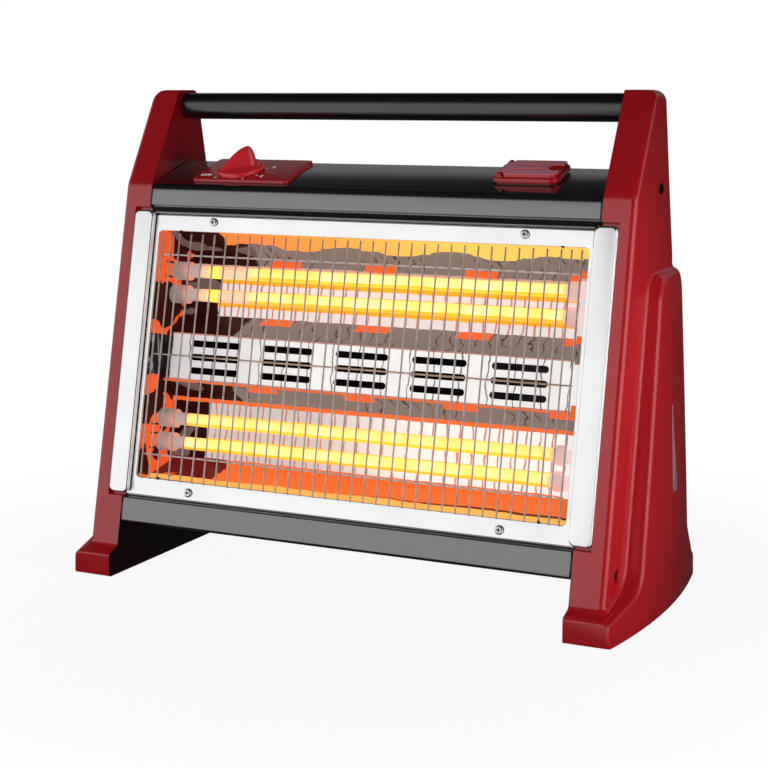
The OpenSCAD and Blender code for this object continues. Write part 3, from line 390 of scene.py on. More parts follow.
def trimSeam(x, depth, up):  # the walls of a trim: unpolished, with painted shade at the foot of the one towards the window
    wall, foot = abs(x).below(211.4) * depth.above(0.5), 3.5
    return wall * depth.above(foot), wall * depth.below(foot) + abs(x).above(228.3)


def frameSlitShade(x, depth, up):  # painted shade: a dark line for the slit beside the right trim, above the window
    return abs(x - 208.9).below(0.8) * up.above(289.6), 0.0


grille = {"radius": 0.8, "depth": 3.8, "low": 63.8, "high": 287.0, "outer": 182.3, "count": 31, "gap": 8.8,
          "cross": (86.0, 176.7, 267.3), "crossDepth": 5.3, "hookBack": 9.8}


def wireSteel():  # plated wire: darker, with short drawn marks, a painted highlight that makes the outer cross wires pale, black on the hooks
    f = Finish("wireSteel")
    x, depth, up = f.front()
    off = abs(up - windowMid)
    marks = f.noise(160.0, 3.0)
    hook = abs(abs(x) - grille["outer"]).below(2.4) * off.above(110.2)
    cross = depth.above(4.45) * abs(off - 90.6).below(2.0)
    colour = f.layered(f.blend(marks.ramp(0.3, 0.75), (0.46, 0.43, 0.425), (0.66, 0.63, 0.625)),
                       (cross, (0.80, 0.70, 0.67)), (hook, (0.008, 0.008, 0.008)))
    return f.surface(colour, 0.26 + 0.14 * marks, Metallic=1.0 - hook - cross)


def clouded(name, dark, pale, rough, gain, scale, detail=3.0, edges=(0.3, 0.7), grain=0.0, glow=0.0, **more):
    # plain metal, moulding or print: a cloud shifts its tone and gloss, with a fine grain where one is given
    f = Finish(name)
    cloud = f.noise(scale, detail)
    if grain:
        more["Normal"] = f.bump(f.noise(grain, 3.0), 0.25)
    return f.surface(f.blend(cloud.ramp(*edges), dark, pale), rough + gain * cloud, glow, **more)


# colours of the painted reflections and glow in the troughs and vent panel; rear is painted shade on faces turned to
# the rear
tone = {"gold": (0.92, 0.43, 0.09), "orange": (0.79, 0.135, 0.025), "rose": (0.56, 0.33, 0.28),
        "rust": (0.45, 0.12, 0.07), "grey": (0.19, 0.155, 0.138), "white": (0.70, 0.66, 0.66),
        "dim": (0.52, 0.49, 0.49), "panel": (0.80, 0.79, 0.78), "darkReflection": (0.018, 0.002, 0.002),
        "rear": (0.05, 0.05, 0.05)}
bands = {"from": 60, "span": 240, "footLine": 68.5, "topLine": 281.0,  # heights up the front of the troughs' painted reflection bands
         "zones": ((60, "orange"), (86, "dim"), (92, "low"), (104.5, "dim"), (114, "low"), (126.5, "dim"),
                   (136, "orange"), (140.5, "grey"), (153.5, "orange"), (160.5, "panel"), (193.5, "rust"),
                   (194.8, "grey"), (217, "white"), (225.5, "behind"), (241, "white"), (247.5, "behind"),
                   (262, "rose"), (264.5, "grey")),
         "dull": ((140.5, 153.5), (194.8, 217.0), (264.5, 290.0)), "pale": ((86.0, 137.0), (217.0, 262.0)),
         "blocks": ((149.5, 153.5), (211.0, 217.0), (264.5, 270.5))}


def troughMetal(name, behind, low):  # polished troughs, all painted reflection and glow: the glow lies in bands up the front, dark at the left end
    f, p = Finish(name), bands
    x, depth, up = f.front()
    ragged = f.noise((80.0, 60.0, 60.0)) - 0.5
    some, reflectionPatches = f.noise((24.0, 30.0, 30.0), 1.0), f.noise((22.0, 34.0, 34.0), 1.0, 0.5)
    swell = (x / 15.3 + 3.0 * ragged).sine()
    height, foot, top = up + 2.0 * ragged, up - swell * 0.4 + ragged, up + swell * 2.2 + ragged
    tones = {**tone, "behind": behind, "low": low}
    stops = [((at - p["from"]) / p["span"], tones[zone]) for at, zone in p["zones"]]
    colour = f.node("ShaderNodeValToRGB", {"stops": stops}, {0: (height - p["from"]) / p["span"]})
    dull, pale, blocks = (sum((height.between(*b) for b in p[k][1:]), height.between(*p[k][0]))
                          for k in ("dull", "pale", "blocks"))
    besideTubes = pale * (1 - offTubes(height).below(6.0))
    bent = abs((up / 18.0 + 0.2).fraction() - 0.5) * 9.0
    vein = abs(((x + bent + 16.0 * ragged) / wirePitch).fraction() - 0.5).fall(0.035, 0.07)
    stroke = abs(((x + 6.0 * ragged) / wirePitch + 0.31).fraction() - 0.5).fall(0.045, 0.09)
    block = (x / 96.0 + 0.18 + ragged * 0.06).fraction().below(0.32) * blocks
    footEdge = abs(foot - 69.4).below((x + 20.0).ramp(0.0, 190.0, 0.0, 0.9))
    torn = x + 20.0 * ragged
    dark = dull * torn.fall(-128.0, -126.0) + pale * (x + 14.0 * ragged).below(-163.0)
    warm = f.blend(x.ramp(-150.0, 110.0), (0.95, 0.24, 0.05), (0.96, 0.60, 0.12))  # painted glow: orange at the left, then yellow
    colour = f.layered(
        colour,
        (besideTubes * height.below(windowMid) * x.ramp(-70.0, 70.0), (0.84, 0.82, 0.81)),
        (dull * vein * some.ramp(0.46, 0.54), (0.055, 0.028, 0.024)),  # painted reflection of the wires: bent lines at their pitch
        (block, (0.88, 0.12, 0.025)),
        (besideTubes * stroke * some.ramp(0.28, 0.38) * 0.85, (0.46, 0.13, 0.09)),
        (foot.below(p["footLine"]), tone["gold"]),
        (footEdge, (0.10, 0.015, 0.01)),
        (torn.below(-138.0) * foot.between(p["footLine"], 86.0), (0.12, 0.008, 0.008)),
        (dark, tone["darkReflection"]),
        (dark * reflectionPatches.ramp(0.60, 0.62), (0.13, 0.085, 0.075)),
        (top.above(p["topLine"]) * torn.above(-147.0), warm),
        ((x + 30.0 * ragged).below(-176.0) * reflectionPatches.fall(0.36, 0.38), (0.80, 0.085, 0.012)),
        # painted shade: faces turned to the rear are near black
        (f.facing()[0].above(0.02), tone["rear"]))
    return f.surface(colour, 0.4 + 0.2 * ragged, 0.93, Specular_IOR_Level=0.08,
                     Base_Color=f.blend(0.65, colour, (0, 0, 0)))


def ventMetal():  # bright slotted panel lit by a painted glow and greyer towards the left with painted shade: a thin warm line of painted glow along its edges, bent dark lines of painted reflection where it mirrors the wires, near black at its far left end, and painted shade on faces turned to the rear
    f = Finish("ventMetal")
    x, depth, up = f.front()
    ragged = f.noise(60.0) - 0.5
    line = abs(((x + 9.0 * ragged) / (2 * wirePitch) + 0.62).fraction() - 0.5).fall(0.016, 0.034)
    colour = f.layered(
        f.blend(x.ramp(-180.0, -40.0), (0.62, 0.60, 0.60), tone["panel"]),
        ((abs(up - windowMid) + ragged).ramp(20.0, 20.4), (0.46, 0.20, 0.15)),
        (line * 0.85, (0.06, 0.045, 0.045)),
        ((x + 8.0 * ragged).fall(-194.0, -192.0), (0.012, 0.010, 0.010)),
        (f.facing()[0].above(0.02), tone["rear"]))
    return f.surface(colour, 0.32 + 0.2 * ragged, 0.55, Metallic=0.2)


def endMetal():  # left end plate glowing with painted light: red and black patches of painted reflection, black leads by the tubes, streaks of painted reflection beside the slotted panel
    f = Finish("endMetal")
    x, depth, up = f.front()
    reflectionPatches, streak = f.noise((20.0, 34.0, 34.0), 1.0, 0.6), f.noise((300.0, 300.0, 14.0))
    streaks = f.blend(streak.ramp(0.56, 0.66), (0.008, 0.007, 0.007), (0.30, 0.28, 0.28))
    colour = f.layered(
        f.blend(reflectionPatches.ramp(0.50, 0.52), (0.80, 0.10, 0.018), (0.030, 0.004, 0.003)),
        (abs(offTubes(up) - 6.6).below(0.8) * depth.above(14.0), (0.004, 0.004, 0.004)),
        (abs(up - windowMid).below(18.5), streaks))
    return f.surface(colour, 0.4 + 0.1 * reflectionPatches, 0.7, Specular_IOR_Level=0.1)


def quartzGlow():  # milky tube: pale yellow along the wound part, amber below, rosy and grey towards the ends
    f = Finish("quartzGlow")
    x, depth, up = f.front()
    flicker = f.noise((50.0, 20.0, 20.0)) - 0.5
    upward = f.facing()[1] + flicker * 0.3
    upper, cold = up.above(windowMid), (x + flicker * 6).fall(-175.0, -169.0)
    colour = f.layered(
        f.blend(flicker.ramp(-0.2, 0.2), (1.0, 0.66, 0.15), (1.0, 0.76, 0.32)),
        (upward.fall(-0.62, -0.45), (1.0, 0.46, 0.02)),
        (upward.ramp(0.80, 0.92), (1.0, 0.60, 0.14)),
        (upper * (x + flicker * 16).fall(-124.0, -113.0), (0.93, 0.47, 0.28)),
        (upper * abs(x + 157.5 + flicker * 8).fall(4.0, 8.0), (1.0, 0.72, 0.10)),
        ((x + flicker * 6).ramp(177.0, 182.0), (0.86, 0.40, 0.25)),
        (cold, (0.36, 0.27, 0.25)))
    return f.surface(colour, 0.16 + 0.1 * flicker, 0.92, Alpha=0.93 - 0.2 * cold, Coat_Weight=0.2)


def screwSteel():  # bright pan heads, with painted shade in the cross recess
    f = Finish("screwSteel")
    x, depth, up = f.front()
    bloom, reach, slot = f.noise(200.0, 3.0), 2.1, 0.55
    across, along = abs(abs(x) - 149.0), abs(abs(up - 176.6) - 121.4)
    head = across.below(reach) * along.below(reach) * depth.below(5.0)
    cross = (across.below(slot) + along.below(slot)).above(0.5) * head
    colour = f.blend(bloom.ramp(0.3, 0.7), (0.72, 0.72, 0.72), (0.88, 0.88, 0.88))
    return f.surface(f.blend(cross, colour, (0.01, 0.01, 0.01)), 0.2 + 0.1 * bloom, Metallic=1.0 - cross)


def coilGlow():  # hot wire, brightest at the middle of its length
    f = Finish("coilGlow")
    x, depth, up = f.front()
    return f.surface(f.blend(abs(x).fall(150.0, 178.0), (0.30, 0.05, 0.02), (1.0, 0.80, 0.28)), 0.5, 1.1)


def firedClay():  # pale caps with a faint painted glow: grey outwards, warmer with painted light from the tubes where they enter them, pinkish on the right
    f = Finish("ceramic")
    x, depth, up = f.front()
    cloud = f.noise(60.0, 3.0)
    colour = f.layered(f.blend(cloud.ramp(0.3, 0.7), (0.36, 0.30, 0.27), (0.46, 0.40, 0.36)),
                       ((x + (cloud - 0.5) * 6).ramp(-190.0, -184.0), (0.78, 0.36, 0.28)),
                       (x.above(0.0), (0.80, 0.55, 0.51)))
    return f.surface(colour, 0.5 + 0.1 * cloud, 0.4)


red = redPlastic("redPlastic", (0.43, 0.006, 0.010), (0.47, 0.008, 0.012))
# a paler copy of the red for the knob: painted light, for the brighter light the knob catches
knobRedLit = redPlastic("knobPlastic", (0.70, 0.020, 0.028), (0.76, 0.024, 0.032))
# the lid's red, with a painted sheen on its top face
lidRedPaintedSheen = redPlastic("lidPlastic", (0.50, 0.007, 0.012), (0.54, 0.009, 0.014), 8.8)
enamel = blackPaint("blackEnamel", 0.16, 0.8, 1.0, 2.3)
black = blackPaint("blackGloss", 0.22, 0.5)
handleBlack = blackPaint("handleGloss", 0.22, 1.0)
bright = brightSteel("brightSteel", frameSlitShade)
trimBright = brightSteel("trimSteel", trimSeam)
wire = wireSteel()
tank = clouded("tankPlastic", (0.016, 0.016, 0.017), (0.026, 0.026, 0.028), 0.4, 0.12, 25.0, grain=300.0)
trough = troughMetal("troughMetal", (1.0, 0.40, 0.02), (1.0, 0.55, 0.08))
# the right end plate takes the troughs' painted reflections and glow in a pale tone
rightEnd = troughMetal("endTrough", (0.86, 0.62, 0.58), (0.86, 0.62, 0.58))
quartz, coil = quartzGlow(), coilGlow()
clear = clouded("clearPlastic", (0.36, 0.26, 0.29), (0.46, 0.34, 0.37), 0.16, 0.1, 60.0, Coat_Weight=0.5, Alpha=0.9)
# the print glows with painted light to stay white
printInk = clouded("whitePrint", (0.76, 0.72, 0.72), (0.92, 0.91, 0.90), 0.45, 0.1, 900.0,
                   edges=(0.35, 0.6), glow=0.4)
slotFinish = {
    "red_plastic": red, "black_paint": black, "bright_steel": bright, "reflector": trough, "quartz": quartz,
    "hot_wire": coil, "ceramic": firedClay(), "clear_plastic": clear,
    "steel": clouded("zincSteel", (0.42, 0.42, 0.43), (0.62, 0.62, 0.64), 0.22, 0.15, 140.0, 4.0, Metallic=1.0),
    "brass": clouded("brass", (0.55, 0.40, 0.16), (0.72, 0.54, 0.24), 0.25, 0.15, 140.0, 4.0, Metallic=1.0),
    "black_plastic": clouded("blackPlastic", (0.018, 0.018, 0.019), (0.030, 0.030, 0.032), 0.45, 0.12, 25.0,
                             grain=300.0),
    "rubber": clouded("rubber", (0.020, 0.020, 0.020), (0.034, 0.033, 0.032), 0.7, 0.12, 25.0, grain=500.0)}
nodeFinish = {"vent_panel": ventMetal(), "left_end_plate": endMetal(), "right_end_plate": rightEnd,
              "water_tank": tank, "front_frame_screws": screwSteel(), "lid_hinge_pin": red}
print("finishes made")

for name, slot in slotOf.items():
    chosen, node = nodeFinish.get(name, slotFinish[slot]), frame["nodes"][name]
    if not node.material_slots:
        node.data.materials.append(chosen.material)
    for place in node.material_slots:
        place.material = chosen.material

# Side frames: outlines are (y, z, corner radius), rows are (from, to, count) of heights, closer where the form turns
sideFrame = {
    "base": 243.5, "spread": 1.6, "bow": 264.4, "bowRadius": 682.05, "sag": 2.2, "draft": 1.7, "edge": 5.4,
    "footEdge": 3.0, "rearEdge": (4.0, 14.0, 9.0), "top": 434.0, "topEdge": 10.0, "fillet": 4.5, "wallRun": 1.0,
    "crest": 5.0, "ledgeRun": 17.0, "notchX": 230.3, "notchDepth": 5.0, "notch": (46.2, 309.7),
    "bulge": ((-60, 22, 0), (0, 22, 3), (60.7, 34, 28), (113.6, 283, 27), (320, 283, 0)),
    "front": ((122, 1, 0), (0, 1, 2), (0, 22, 3), (*leg, 6), (*bend, 14), (130.84, 434, 4), (146, 434, 0)),
    "back": ((122, 1, 0), (244, 1, 2), (244, 19, 5), (232, 24, 4), (193.5, 283, 30), (161.34, 434, 8), (146, 434, 0)),
    "rows": ((1, 3, 5), (3, 18, 6), (18, 32, 57), (32, 84, 53), (84, 250, 30), (250, 262, 13), (262, 300, 58),
             (300, 340, 7), (340, 358, 13), (358, 420, 9), (420, 434, 22))}


def baseX(z):  # x of the outer face beside the bulge, a little wider towards the floor
    return sideFrame["base"] + sideFrame["spread"] * fade(z, 348, -290)


def bulgeX(y, z):  # x of the bowed outer face: a circle along the floor, drawn in with height and towards the rear
    p, off = sideFrame, y - halfDepth
    sag = p["sag"] * (np.clip(off, 0, None) / 88) ** 2 * fade(z, 24, 25)
    circle = p["bow"] - p["bowRadius"] + np.sqrt(p["bowRadius"] ** 2 - off ** 2)
    return circle - z * math.tan(math.radians(p["draft"])) - sag


def bulgeLine():  # the bulge's outline, from the front of the foot up its leaning front to the ledge
    return apart(rounded(sideFrame["bulge"], 14))


def insideBulge(y, z):  # distance to that outline, positive inside, and how far its nearest part has turned level
    line = bulgeLine()
    a, d = line[:-1], np.diff(line, axis=0)
    p = np.stack([y, z], -1)[..., None, :] - a
    t = np.clip((p * d).sum(-1) / (d * d).sum(-1), 0, 1)
    far = np.linalg.norm(p - t[..., None] * d, axis=-1)
    near = far.argmin(-1)[..., None]
    turn = fade(np.degrees(np.arctan2(d[:, 1], d[:, 0])), 77, -77) * (a[:, 1] > 200)
    corner = np.concatenate([turn[:1], (turn[1:] + turn[:-1]) / 2, turn[-1:]])
    level = corner[:-1] + (corner[1:] - corner[:-1]) * t
    cross, far, level = (np.take_along_axis(v, near, -1)[..., 0]
                         for v in (d[:, 0] * p[..., 1] - d[:, 1] * p[..., 0], far, level))
    return -np.sign(cross) * far, level


def frameX(y, z):  # base face, hollow fillet, steep wall and crest up to the bulge; the ledge is one long ellipse
    p = sideFrame
    fillet, wallRun, crest, top, topEdge = (p[k] for k in ("fillet", "wallRun", "crest", "top", "topEdge"))
    base = baseX(z)
    inside, ledge = insideBulge(y, z)
    rise = bulgeX(y, z) - base
    ledge = ledge * ledge * (3 - 2 * ledge)
    crestRun, crestRise = crest + (p["ledgeRun"] - crest) * ledge, crest + (rise - fillet - crest) * ledge
    wall = fillet + (rise - crestRise - fillet) * fade(inside, 0, wallRun)
    crown = rise - crestRise + crestRise * np.sqrt(1 - (1 - fade(inside, wallRun, crestRun)) ** 2)
    x = base + np.where(inside < 0, rollOff(fillet, inside + fillet), np.where(inside < wallRun, wall, crown))
    return np.minimum(x, base + 60 * (z < 420) - rollOff(topEdge, z - top + topEdge))


def frameSurface():  # each row runs back along the outer face, round the rear and home along the inner face
    p = sideFrame
    low, high = (leg[1] + up * leanCos for up in p["notch"])
    notchEdges = [z + k for z in (low, high) for k in (-0.05, 0.05)]
    z = np.unique(np.concatenate([np.linspace(*row) for row in p["rows"]] + [notchEdges]))[:, None]
    front, back = (rounded(p[k])[1:-1] for k in ("front", "back"))
    yFront, yRear = (np.interp(z, line[:, 1], line[:, 0]) for line in (front, back))
    depth = yRear - yFront
    edge = np.minimum(p["footEdge"] + (p["edge"] - p["footEdge"]) * fade(z, 21, 6), 0.25 * depth)
    outerX, notchX = frameX(yFront + edge, z), p["notchX"]
    flatX = np.broadcast_to([[innerX, 222.0, notchX - 0.05, notchX + 0.05]], (len(z), 4))
    flatX = np.concatenate([flatX, (outerX - edge + notchX) / 2], 1)
    flatY = yFront + p["notchDepth"] / leanCos * ((z > low) & (z < high)) * (flatX < notchX)
    angle = quarterTurn(9)
    roundX, roundY = outerX - edge + edge * np.sin(angle), yFront + edge - edge * np.cos(angle)
    foot, lower, upper = p["rearEdge"]
    rear = foot + (lower - foot) * fade(z, 30, 22) + (upper - lower) * fade(z, 265, 30)
    rear = np.minimum(rear, np.minimum(0.25 * depth, frameX(yRear - 4, z) - 229.5))
    start, stop, line = yFront + edge, yRear - rear, bulgeLine()
    scale = np.minimum(1, (stop - start) / 118)
    middle = np.clip(np.interp(z, line[:, 1], line[:, 0]), start + 8 * scale, stop - 26 * scale)
    near = [np.linspace(-6, 0, 13), np.linspace(0.25, 1, 4), np.linspace(1.5, 6.5, 11), [8, 10, 12.5, 15.5, 19]]
    close = middle + scale * np.concatenate(near)
    before = start + (close[:, :1] - start) * np.linspace(0, 1, 10)[1:-1]
    rest = close[:, -1:] + (stop - close[:, -1:]) * np.linspace(0, 1, 15)[1:]
    fieldY = np.concatenate([before, close, rest], 1)
    fieldX = frameX(fieldY, np.broadcast_to(z, fieldY.shape))
    turn = angle[1:]
    backX, backY = fieldX[:, -1:] - rear * (1 - np.cos(turn)), stop + rear * np.sin(turn)
    homeX = np.full((len(z), 3), [228.0, innerX, innerX])
    homeY = np.concatenate([yRear, yRear, (yRear + yFront) / 2], 1)
    x = np.concatenate([flatX, roundX, fieldX, backX, homeX], 1)
    y = np.concatenate([flatY, roundY, fieldY, backY, homeY], 1)
    return x, y, np.broadcast_to(z, x.shape)


def frameParts(side):  # the rows joined upwards, with a hollow under the foot, torn open round each screw
    x, y, z = frameSurface()
    hollow = np.where(x[0] > 230, x[0] - 4, 218.0), np.clip(y[0], 34, 210)
    under = np.stack([onSide(*hollow, z[0] + 27), onSide(*hollow, z[0])])
    points, groups = loft(np.concatenate([under, onSide(x, y, z)]))
    mid = points[groups[0]].mean(1)
    for atY, atZ in recess["at"]:
        off = np.hypot(mid[:, 1] + halfDepth - atY, mid[:, 2] - atZ)
        keep = (off > recess["radius"] + 2.2) | (mid[:, 0] < sideFrame["base"] - 0.6)
        groups[0], mid = groups[0][keep], mid[keep]
    return points * (side, 1, 1), groups


def sinkRecesses(side):  # the torn faces round each screw are closed by a ring, a straight bore and a floor
    r = recess["radius"]

    def work(bm):
        edges = [e for e in bm.edges if e.is_boundary]
        angle = fullTurn(40)
        for y, z in recess["at"]:
            base = float(baseX(z))
            near = [e for e in edges if abs(e.verts[0].co.z / mm - z) < 20]
            steps = ((base, r + 0.5), (base - 0.15, r + 0.15), (base - 0.6, r), (recess["floor"], r))
            circles = [onSide(side * x, y + s * np.cos(angle), z + s * np.sin(angle)) * mm for x, s in steps]
            rings = [[bm.verts.new(at) for at in circle] for circle in circles]
            loop = [bm.edges.new((rings[0][k - 1], rings[0][k])) for k in range(len(angle))]
            bmesh.ops.bridge_loops(bm, edges=near + loop)
            for a, b in zip(rings, rings[1:]):
                for k in range(len(angle)):
                    bm.faces.new((a[k - 1], a[k], b[k], b[k - 1]))
            bm.faces.new(rings[-1])
    return work


bothSides = (("left", -1), ("right", 1))
for name, side in bothSides:
    makePiece(name + "SideFrame", [frameParts(side)], red, name + "_side_frame",
              rework=sinkRecesses(side), sharp=50)
print("side frames made")

levelWindow = {"low": 97.5, "high": 173.0, "left": (143.6, 141.4), "right": (160.2, 142.0), "proud": 0.25,
               "deep": 1.2}


def levelSliver(low, high, left, right, proud, deep):  # a wedge laid on the bulge: its edges close towards the top
    v, u = np.linspace(0, 1, 30)[:, None], np.linspace(0, 1, 9)
    start, end = (edge[0] + (edge[1] - edge[0]) * v for edge in (left, right))
    y = start + (end - start) * u
    z = np.broadcast_to(low + (high - low) * v, y.shape)
    skin = bulgeX(y, z)
    ease = np.minimum(1, np.minimum(u, 1 - u) * 12) * proud
    return loft(np.concatenate([onSide(skin + ease, y, z), onSide(skin - deep, y, z)[:, ::-1]], 1))


handle = {"radius": 12.0, "at": (144.09, 419.3), "half": 214.95, "ease": 0.4, "sides": 72}


def handleTube(radius, at, half, ease, sides):  # one circle carried straight across, smaller at its very ends
    angle = fullTurn(sides)
    x = np.concatenate([[-half], np.linspace(ease - half, half - ease, 24), [half]])[:, None]
    r = radius - ease * (np.abs(x) > half - 0.1)
    return loft(onSide(x, at[0] + r * np.cos(angle), at[1] + r * np.sin(angle)))


makePiece("levelWindow", [levelSliver(**levelWindow)], clear, "water_level_window")
makePiece("handleTube", [handleTube(**handle)], handleBlack, "handle_tube")

# Folded sheets: the cover above the window and the pan below it; folds are (depth, height, corner radius)
cover = {"half": 213.4, "lipHalf": 209.7, "lipEnd": 307.0, "crown": 1.1, "thick": 1.0,
         "mouth": (120.2, 165.3, 24.7, 57.3),
         "fold": ((6.2, 293, 0), (6.2, 304.2, 0.8), (1.2, 304.2, 1.3), (3.2, 311.5, 0.6), (0.3, 311.5, 1.4)),
         "proud": 0.29, "flange": 14}
pan = {"half": 213.4, "thick": 1.0, "flange": 14, "floor": 47.5, "front": (0.3, 21.98),
       "fold": ((0.3, 45.2, 0.9), (3.4, 46.0, 0.6), (6.2, 47.5, 0.8), (6.2, 58.7, 0))}
rearWay = (rearTop - rearFoot) / np.linalg.norm(rearTop - rearFoot)


def frontPair(depth, up):  # y from the front of the feet and z
    y, z = onFront(0, depth, up)[1:]
    return y + halfDepth, z


def upSlope(path):  # how far up the cover's slope each point of a side view lies
    return (path[:, 0] - bend[0]) * slopeCos + (path[:, 1] - bend[1]) * slopeSin


def coverSheet(half, lipHalf, lipEnd, crown, mouth, thick, fold, proud, flange):
    # the folded path carried across, wider above the lip, crowned a little along the slope
    corners = [(*frontPair(d, up), r) for d, up, r in fold] + [(bend[0] + proud, bend[1], 9)]
    path = apart(rounded(corners + [(*rearTop, 5), (*(rearTop - rearWay * flange), 0)]))
    along = upSlope(path)
    start = int(np.argmax(np.diff(along)))  # the slope is the longest step of the path
    stops = np.unique(np.concatenate([np.linspace(along[start], along[start + 1], 26)[1:-1], mouth[2:]]))
    rise = np.stack([bend[0] + proud * (1 - stops / climb) + stops * slopeCos, bend[1] + stops * slopeSin], -1)
    path = np.concatenate([path[:start + 1], rise, path[start + 1:]])
    along, end = upSlope(path), start + len(stops) + 1
    onSlope = np.zeros(len(path), bool)
    onSlope[start:end + 1] = True
    lift = crown * np.sin(math.pi * fade(along, along[start], along[end] - along[start])) * onSlope
    path = path + lift[:, None] * np.array([-slopeSin, slopeCos])
    up = (path[:, 0] - leg[0]) * leanSin + (path[:, 1] - leg[1]) * leanCos
    step = int(np.argmax(up > lipEnd))  # the first point above the lip, where the sheet widens at once
    level = (lipEnd - up[step - 1]) / (up[step] - up[step - 1])
    edge = path[step - 1] + (path[step] - path[step - 1]) * np.array([[level - 0.004], [level + 0.004]])
    path = np.concatenate([path[:step], edge, path[step:]])
    along, onSlope = np.insert(along, step, [0, 0]), np.insert(onSlope, step, [False, False])
    share = np.where(np.arange(len(path)) <= step, lipHalf, half)[:, None] / half
    x = np.unique(np.concatenate([np.linspace(-1, 1, 25) * half, mouth[:2]]))
    x0, x1, along0, along1 = np.add(mouth, (0.01, -0.01, 0.01, -0.01))
    acrossMouth = (x[1:] > x0) & (x[:-1] < x1)
    alongMouth = (along[1:] > along0) & (along[:-1] < along1) & onSlope[1:] & onSlope[:-1]
    sheet = (onSide(x * share, q[:, :1], q[:, 1:]) for q in (path, inset(path, thick)))
    return walled(*sheet, ~(alongMouth[:, None] & acrossMouth))


def panSheet(half, thick, flange, floor, front, fold):  # the same upside down: rear flange, floor, front band, lip
    corners = [(*(rearFoot + rearWay * flange), 0), (*rearFoot, 4), (frontPair(*front)[0], floor, 3)]
    path = apart(rounded(corners + [(*frontPair(d, up), r) for d, up, r in fold]))
    x = np.linspace(-1, 1, 25) * half
    return walled(*(onSide(x, q[:, :1], q[:, 1:]) for q in (path, inset(path, thick))))


makePiece("topCover", [coverSheet(**cover)], enamel, "top_cover")
makePiece("bottomPan", [panSheet(**pan)], enamel, "bottom_pan")
print("cover, pan and handle made")

# Front frame, trims and grille
frontFrame = {"half": 214.7, "low": 48.7, "high": 303.0, "window": (205.0, 65.0, 289.0), "face": 5.0, "thick": 1.0,
              "turned": 7.2, "ease": 1.0}
trim = {"x": (210.0, 230.0), "low": 49.2, "high": 306.7, "front": -1.0, "back": 4.9, "corner": 6.0,
        "ease": 1.8, "wall": 1.4}


def frontFramePlate(half, low, high, window, face, thick, turned, ease):
    # rings from the outer edge over the face, round into the window and back along its turned edge
    wide, sill, head = window
    back = face + thick
    outer = [(0, back), (0, face + 0.3), (0.3, face)]
    inner = [(-g, face - drop) for g, drop in quarter(ease)[::-1]]
    inner += [(0, turned), (-0.8, turned), (-0.8, back + 0.4), (-1.4, back)]
    return loft(np.concatenate([softRings((-half, low, half, high), 1.0, outer, onFace),
                                softRings((-wide, sill, wide, head), 3.0, inner, onFace)]), around=True)


def sideTrim(side, x, low, high, front, back, corner, ease, wall):
    # soft-cornered channel: the hollow behind, its wall, its eased edge and its face
    levels = [(1.0, front + wall), (1.0, back), (0, back)] + [(g, front - drop) for g, drop in quarter(ease, 6)]
    rings = softRings((x[0], low, x[1], high), corner, levels, onFace, steps=8)
    return loft(rings * (side, 1, 1))


def grilleWires(radius, depth, low, high, outer, count, gap, cross, crossDepth, hookBack):
    # straight wires with domed ends, cross wires behind them and four hooks into the frame
    extra = [s * (outer + k * gap) for s in (-1, 1) for k in (1, 2)]
    reach, across = outer + 2 * gap + 1, (1, 0, 0)
    lines = [(x, depth, low, x, depth, high, across) for x in (*np.linspace(-outer, outer, count), *extra)]
    lines += [(-reach, crossDepth, up, reach, crossDepth, up, (0, 0, 1)) for up in cross]
    lines += [(x, depth - 1, up, x, hookBack, up, across) for x in (-outer, outer) for up in frontFrame["window"][1:]]
    return [domedRod(onFront(*line[:3]), onFront(*line[3:6]), radius, line[6]) for line in lines]


makePiece("frontFrame", [frontFramePlate(**frontFrame)], bright, "front_frame")
for name, side in bothSides:
    makePiece(name + "Trim", [sideTrim(side, **trim)], trimBright, name + "_trim")
makePiece("grille", grilleWires(**grille), wire, "grille")
print("front frame, trims and grille made")

# Troughs, tubes and coils; the troughs' bends are (depth, height from the window's middle, corner radius)
troughs = {"half": 200.0, "thick": 0.8, "ripple": 0.35,
           "bends": ((7.5, 125.6, 0), (7.5, 114.6, 2), (52, 96, 6), (52, 40.5, 6), (26.5, 22.5, 2), (26.5, 16.5, 0))}
tubes = {"depth": 32.0, "outer": 5.75, "bore": 4.55, "half": 194.0, "ease": 0.6}
coils = {"radius": 3.0, "wire": 0.5, "half": 172.0, "turns": 78, "lead": 190.0}


def troughSheet(side, half, thick, ripple, bends):  # the bent profile carried across, rippled a little
    profile = rounded(bends, 6)
    step = np.concatenate([[0], np.cumsum(np.linalg.norm(np.diff(profile, axis=0), axis=1))])
    at = np.unique(np.concatenate([step, np.linspace(0, step[-1], 60)]))
    profile = np.stack([np.interp(at, step, profile[:, k]) for k in (0, 1)], -1)
    x, at = np.linspace(-half, half, 90), at[:, None]
    wave = ripple * np.sin(x / 17 + at / 23) * np.sin(x / 41 + 1.3 * side) * np.sin(math.pi * at / at[-1])
    faces = profile, inset(profile, -thick)
    return walled(*(onFront(x, q[:, :1] + wave, windowMid + side * q[:, 1:]) for q in faces))


def quartzTube(up, depth, outer, bore, half, ease):  # outer and inner circles joined end to end
    angle = fullTurn(32)
    x = np.concatenate([[-half, ease - half], np.linspace(-180, 180, 25), [half - ease, half]])[:, None]
    r = outer - 0.5 * (np.abs(x) > half - 0.1)
    walls = ((x, r), (x[::-1], bore))
    rings = [onFront(at, depth + s * np.cos(angle), up + s * np.sin(angle)) for at, s in walls]
    return loft(np.concatenate(rings), around=True)


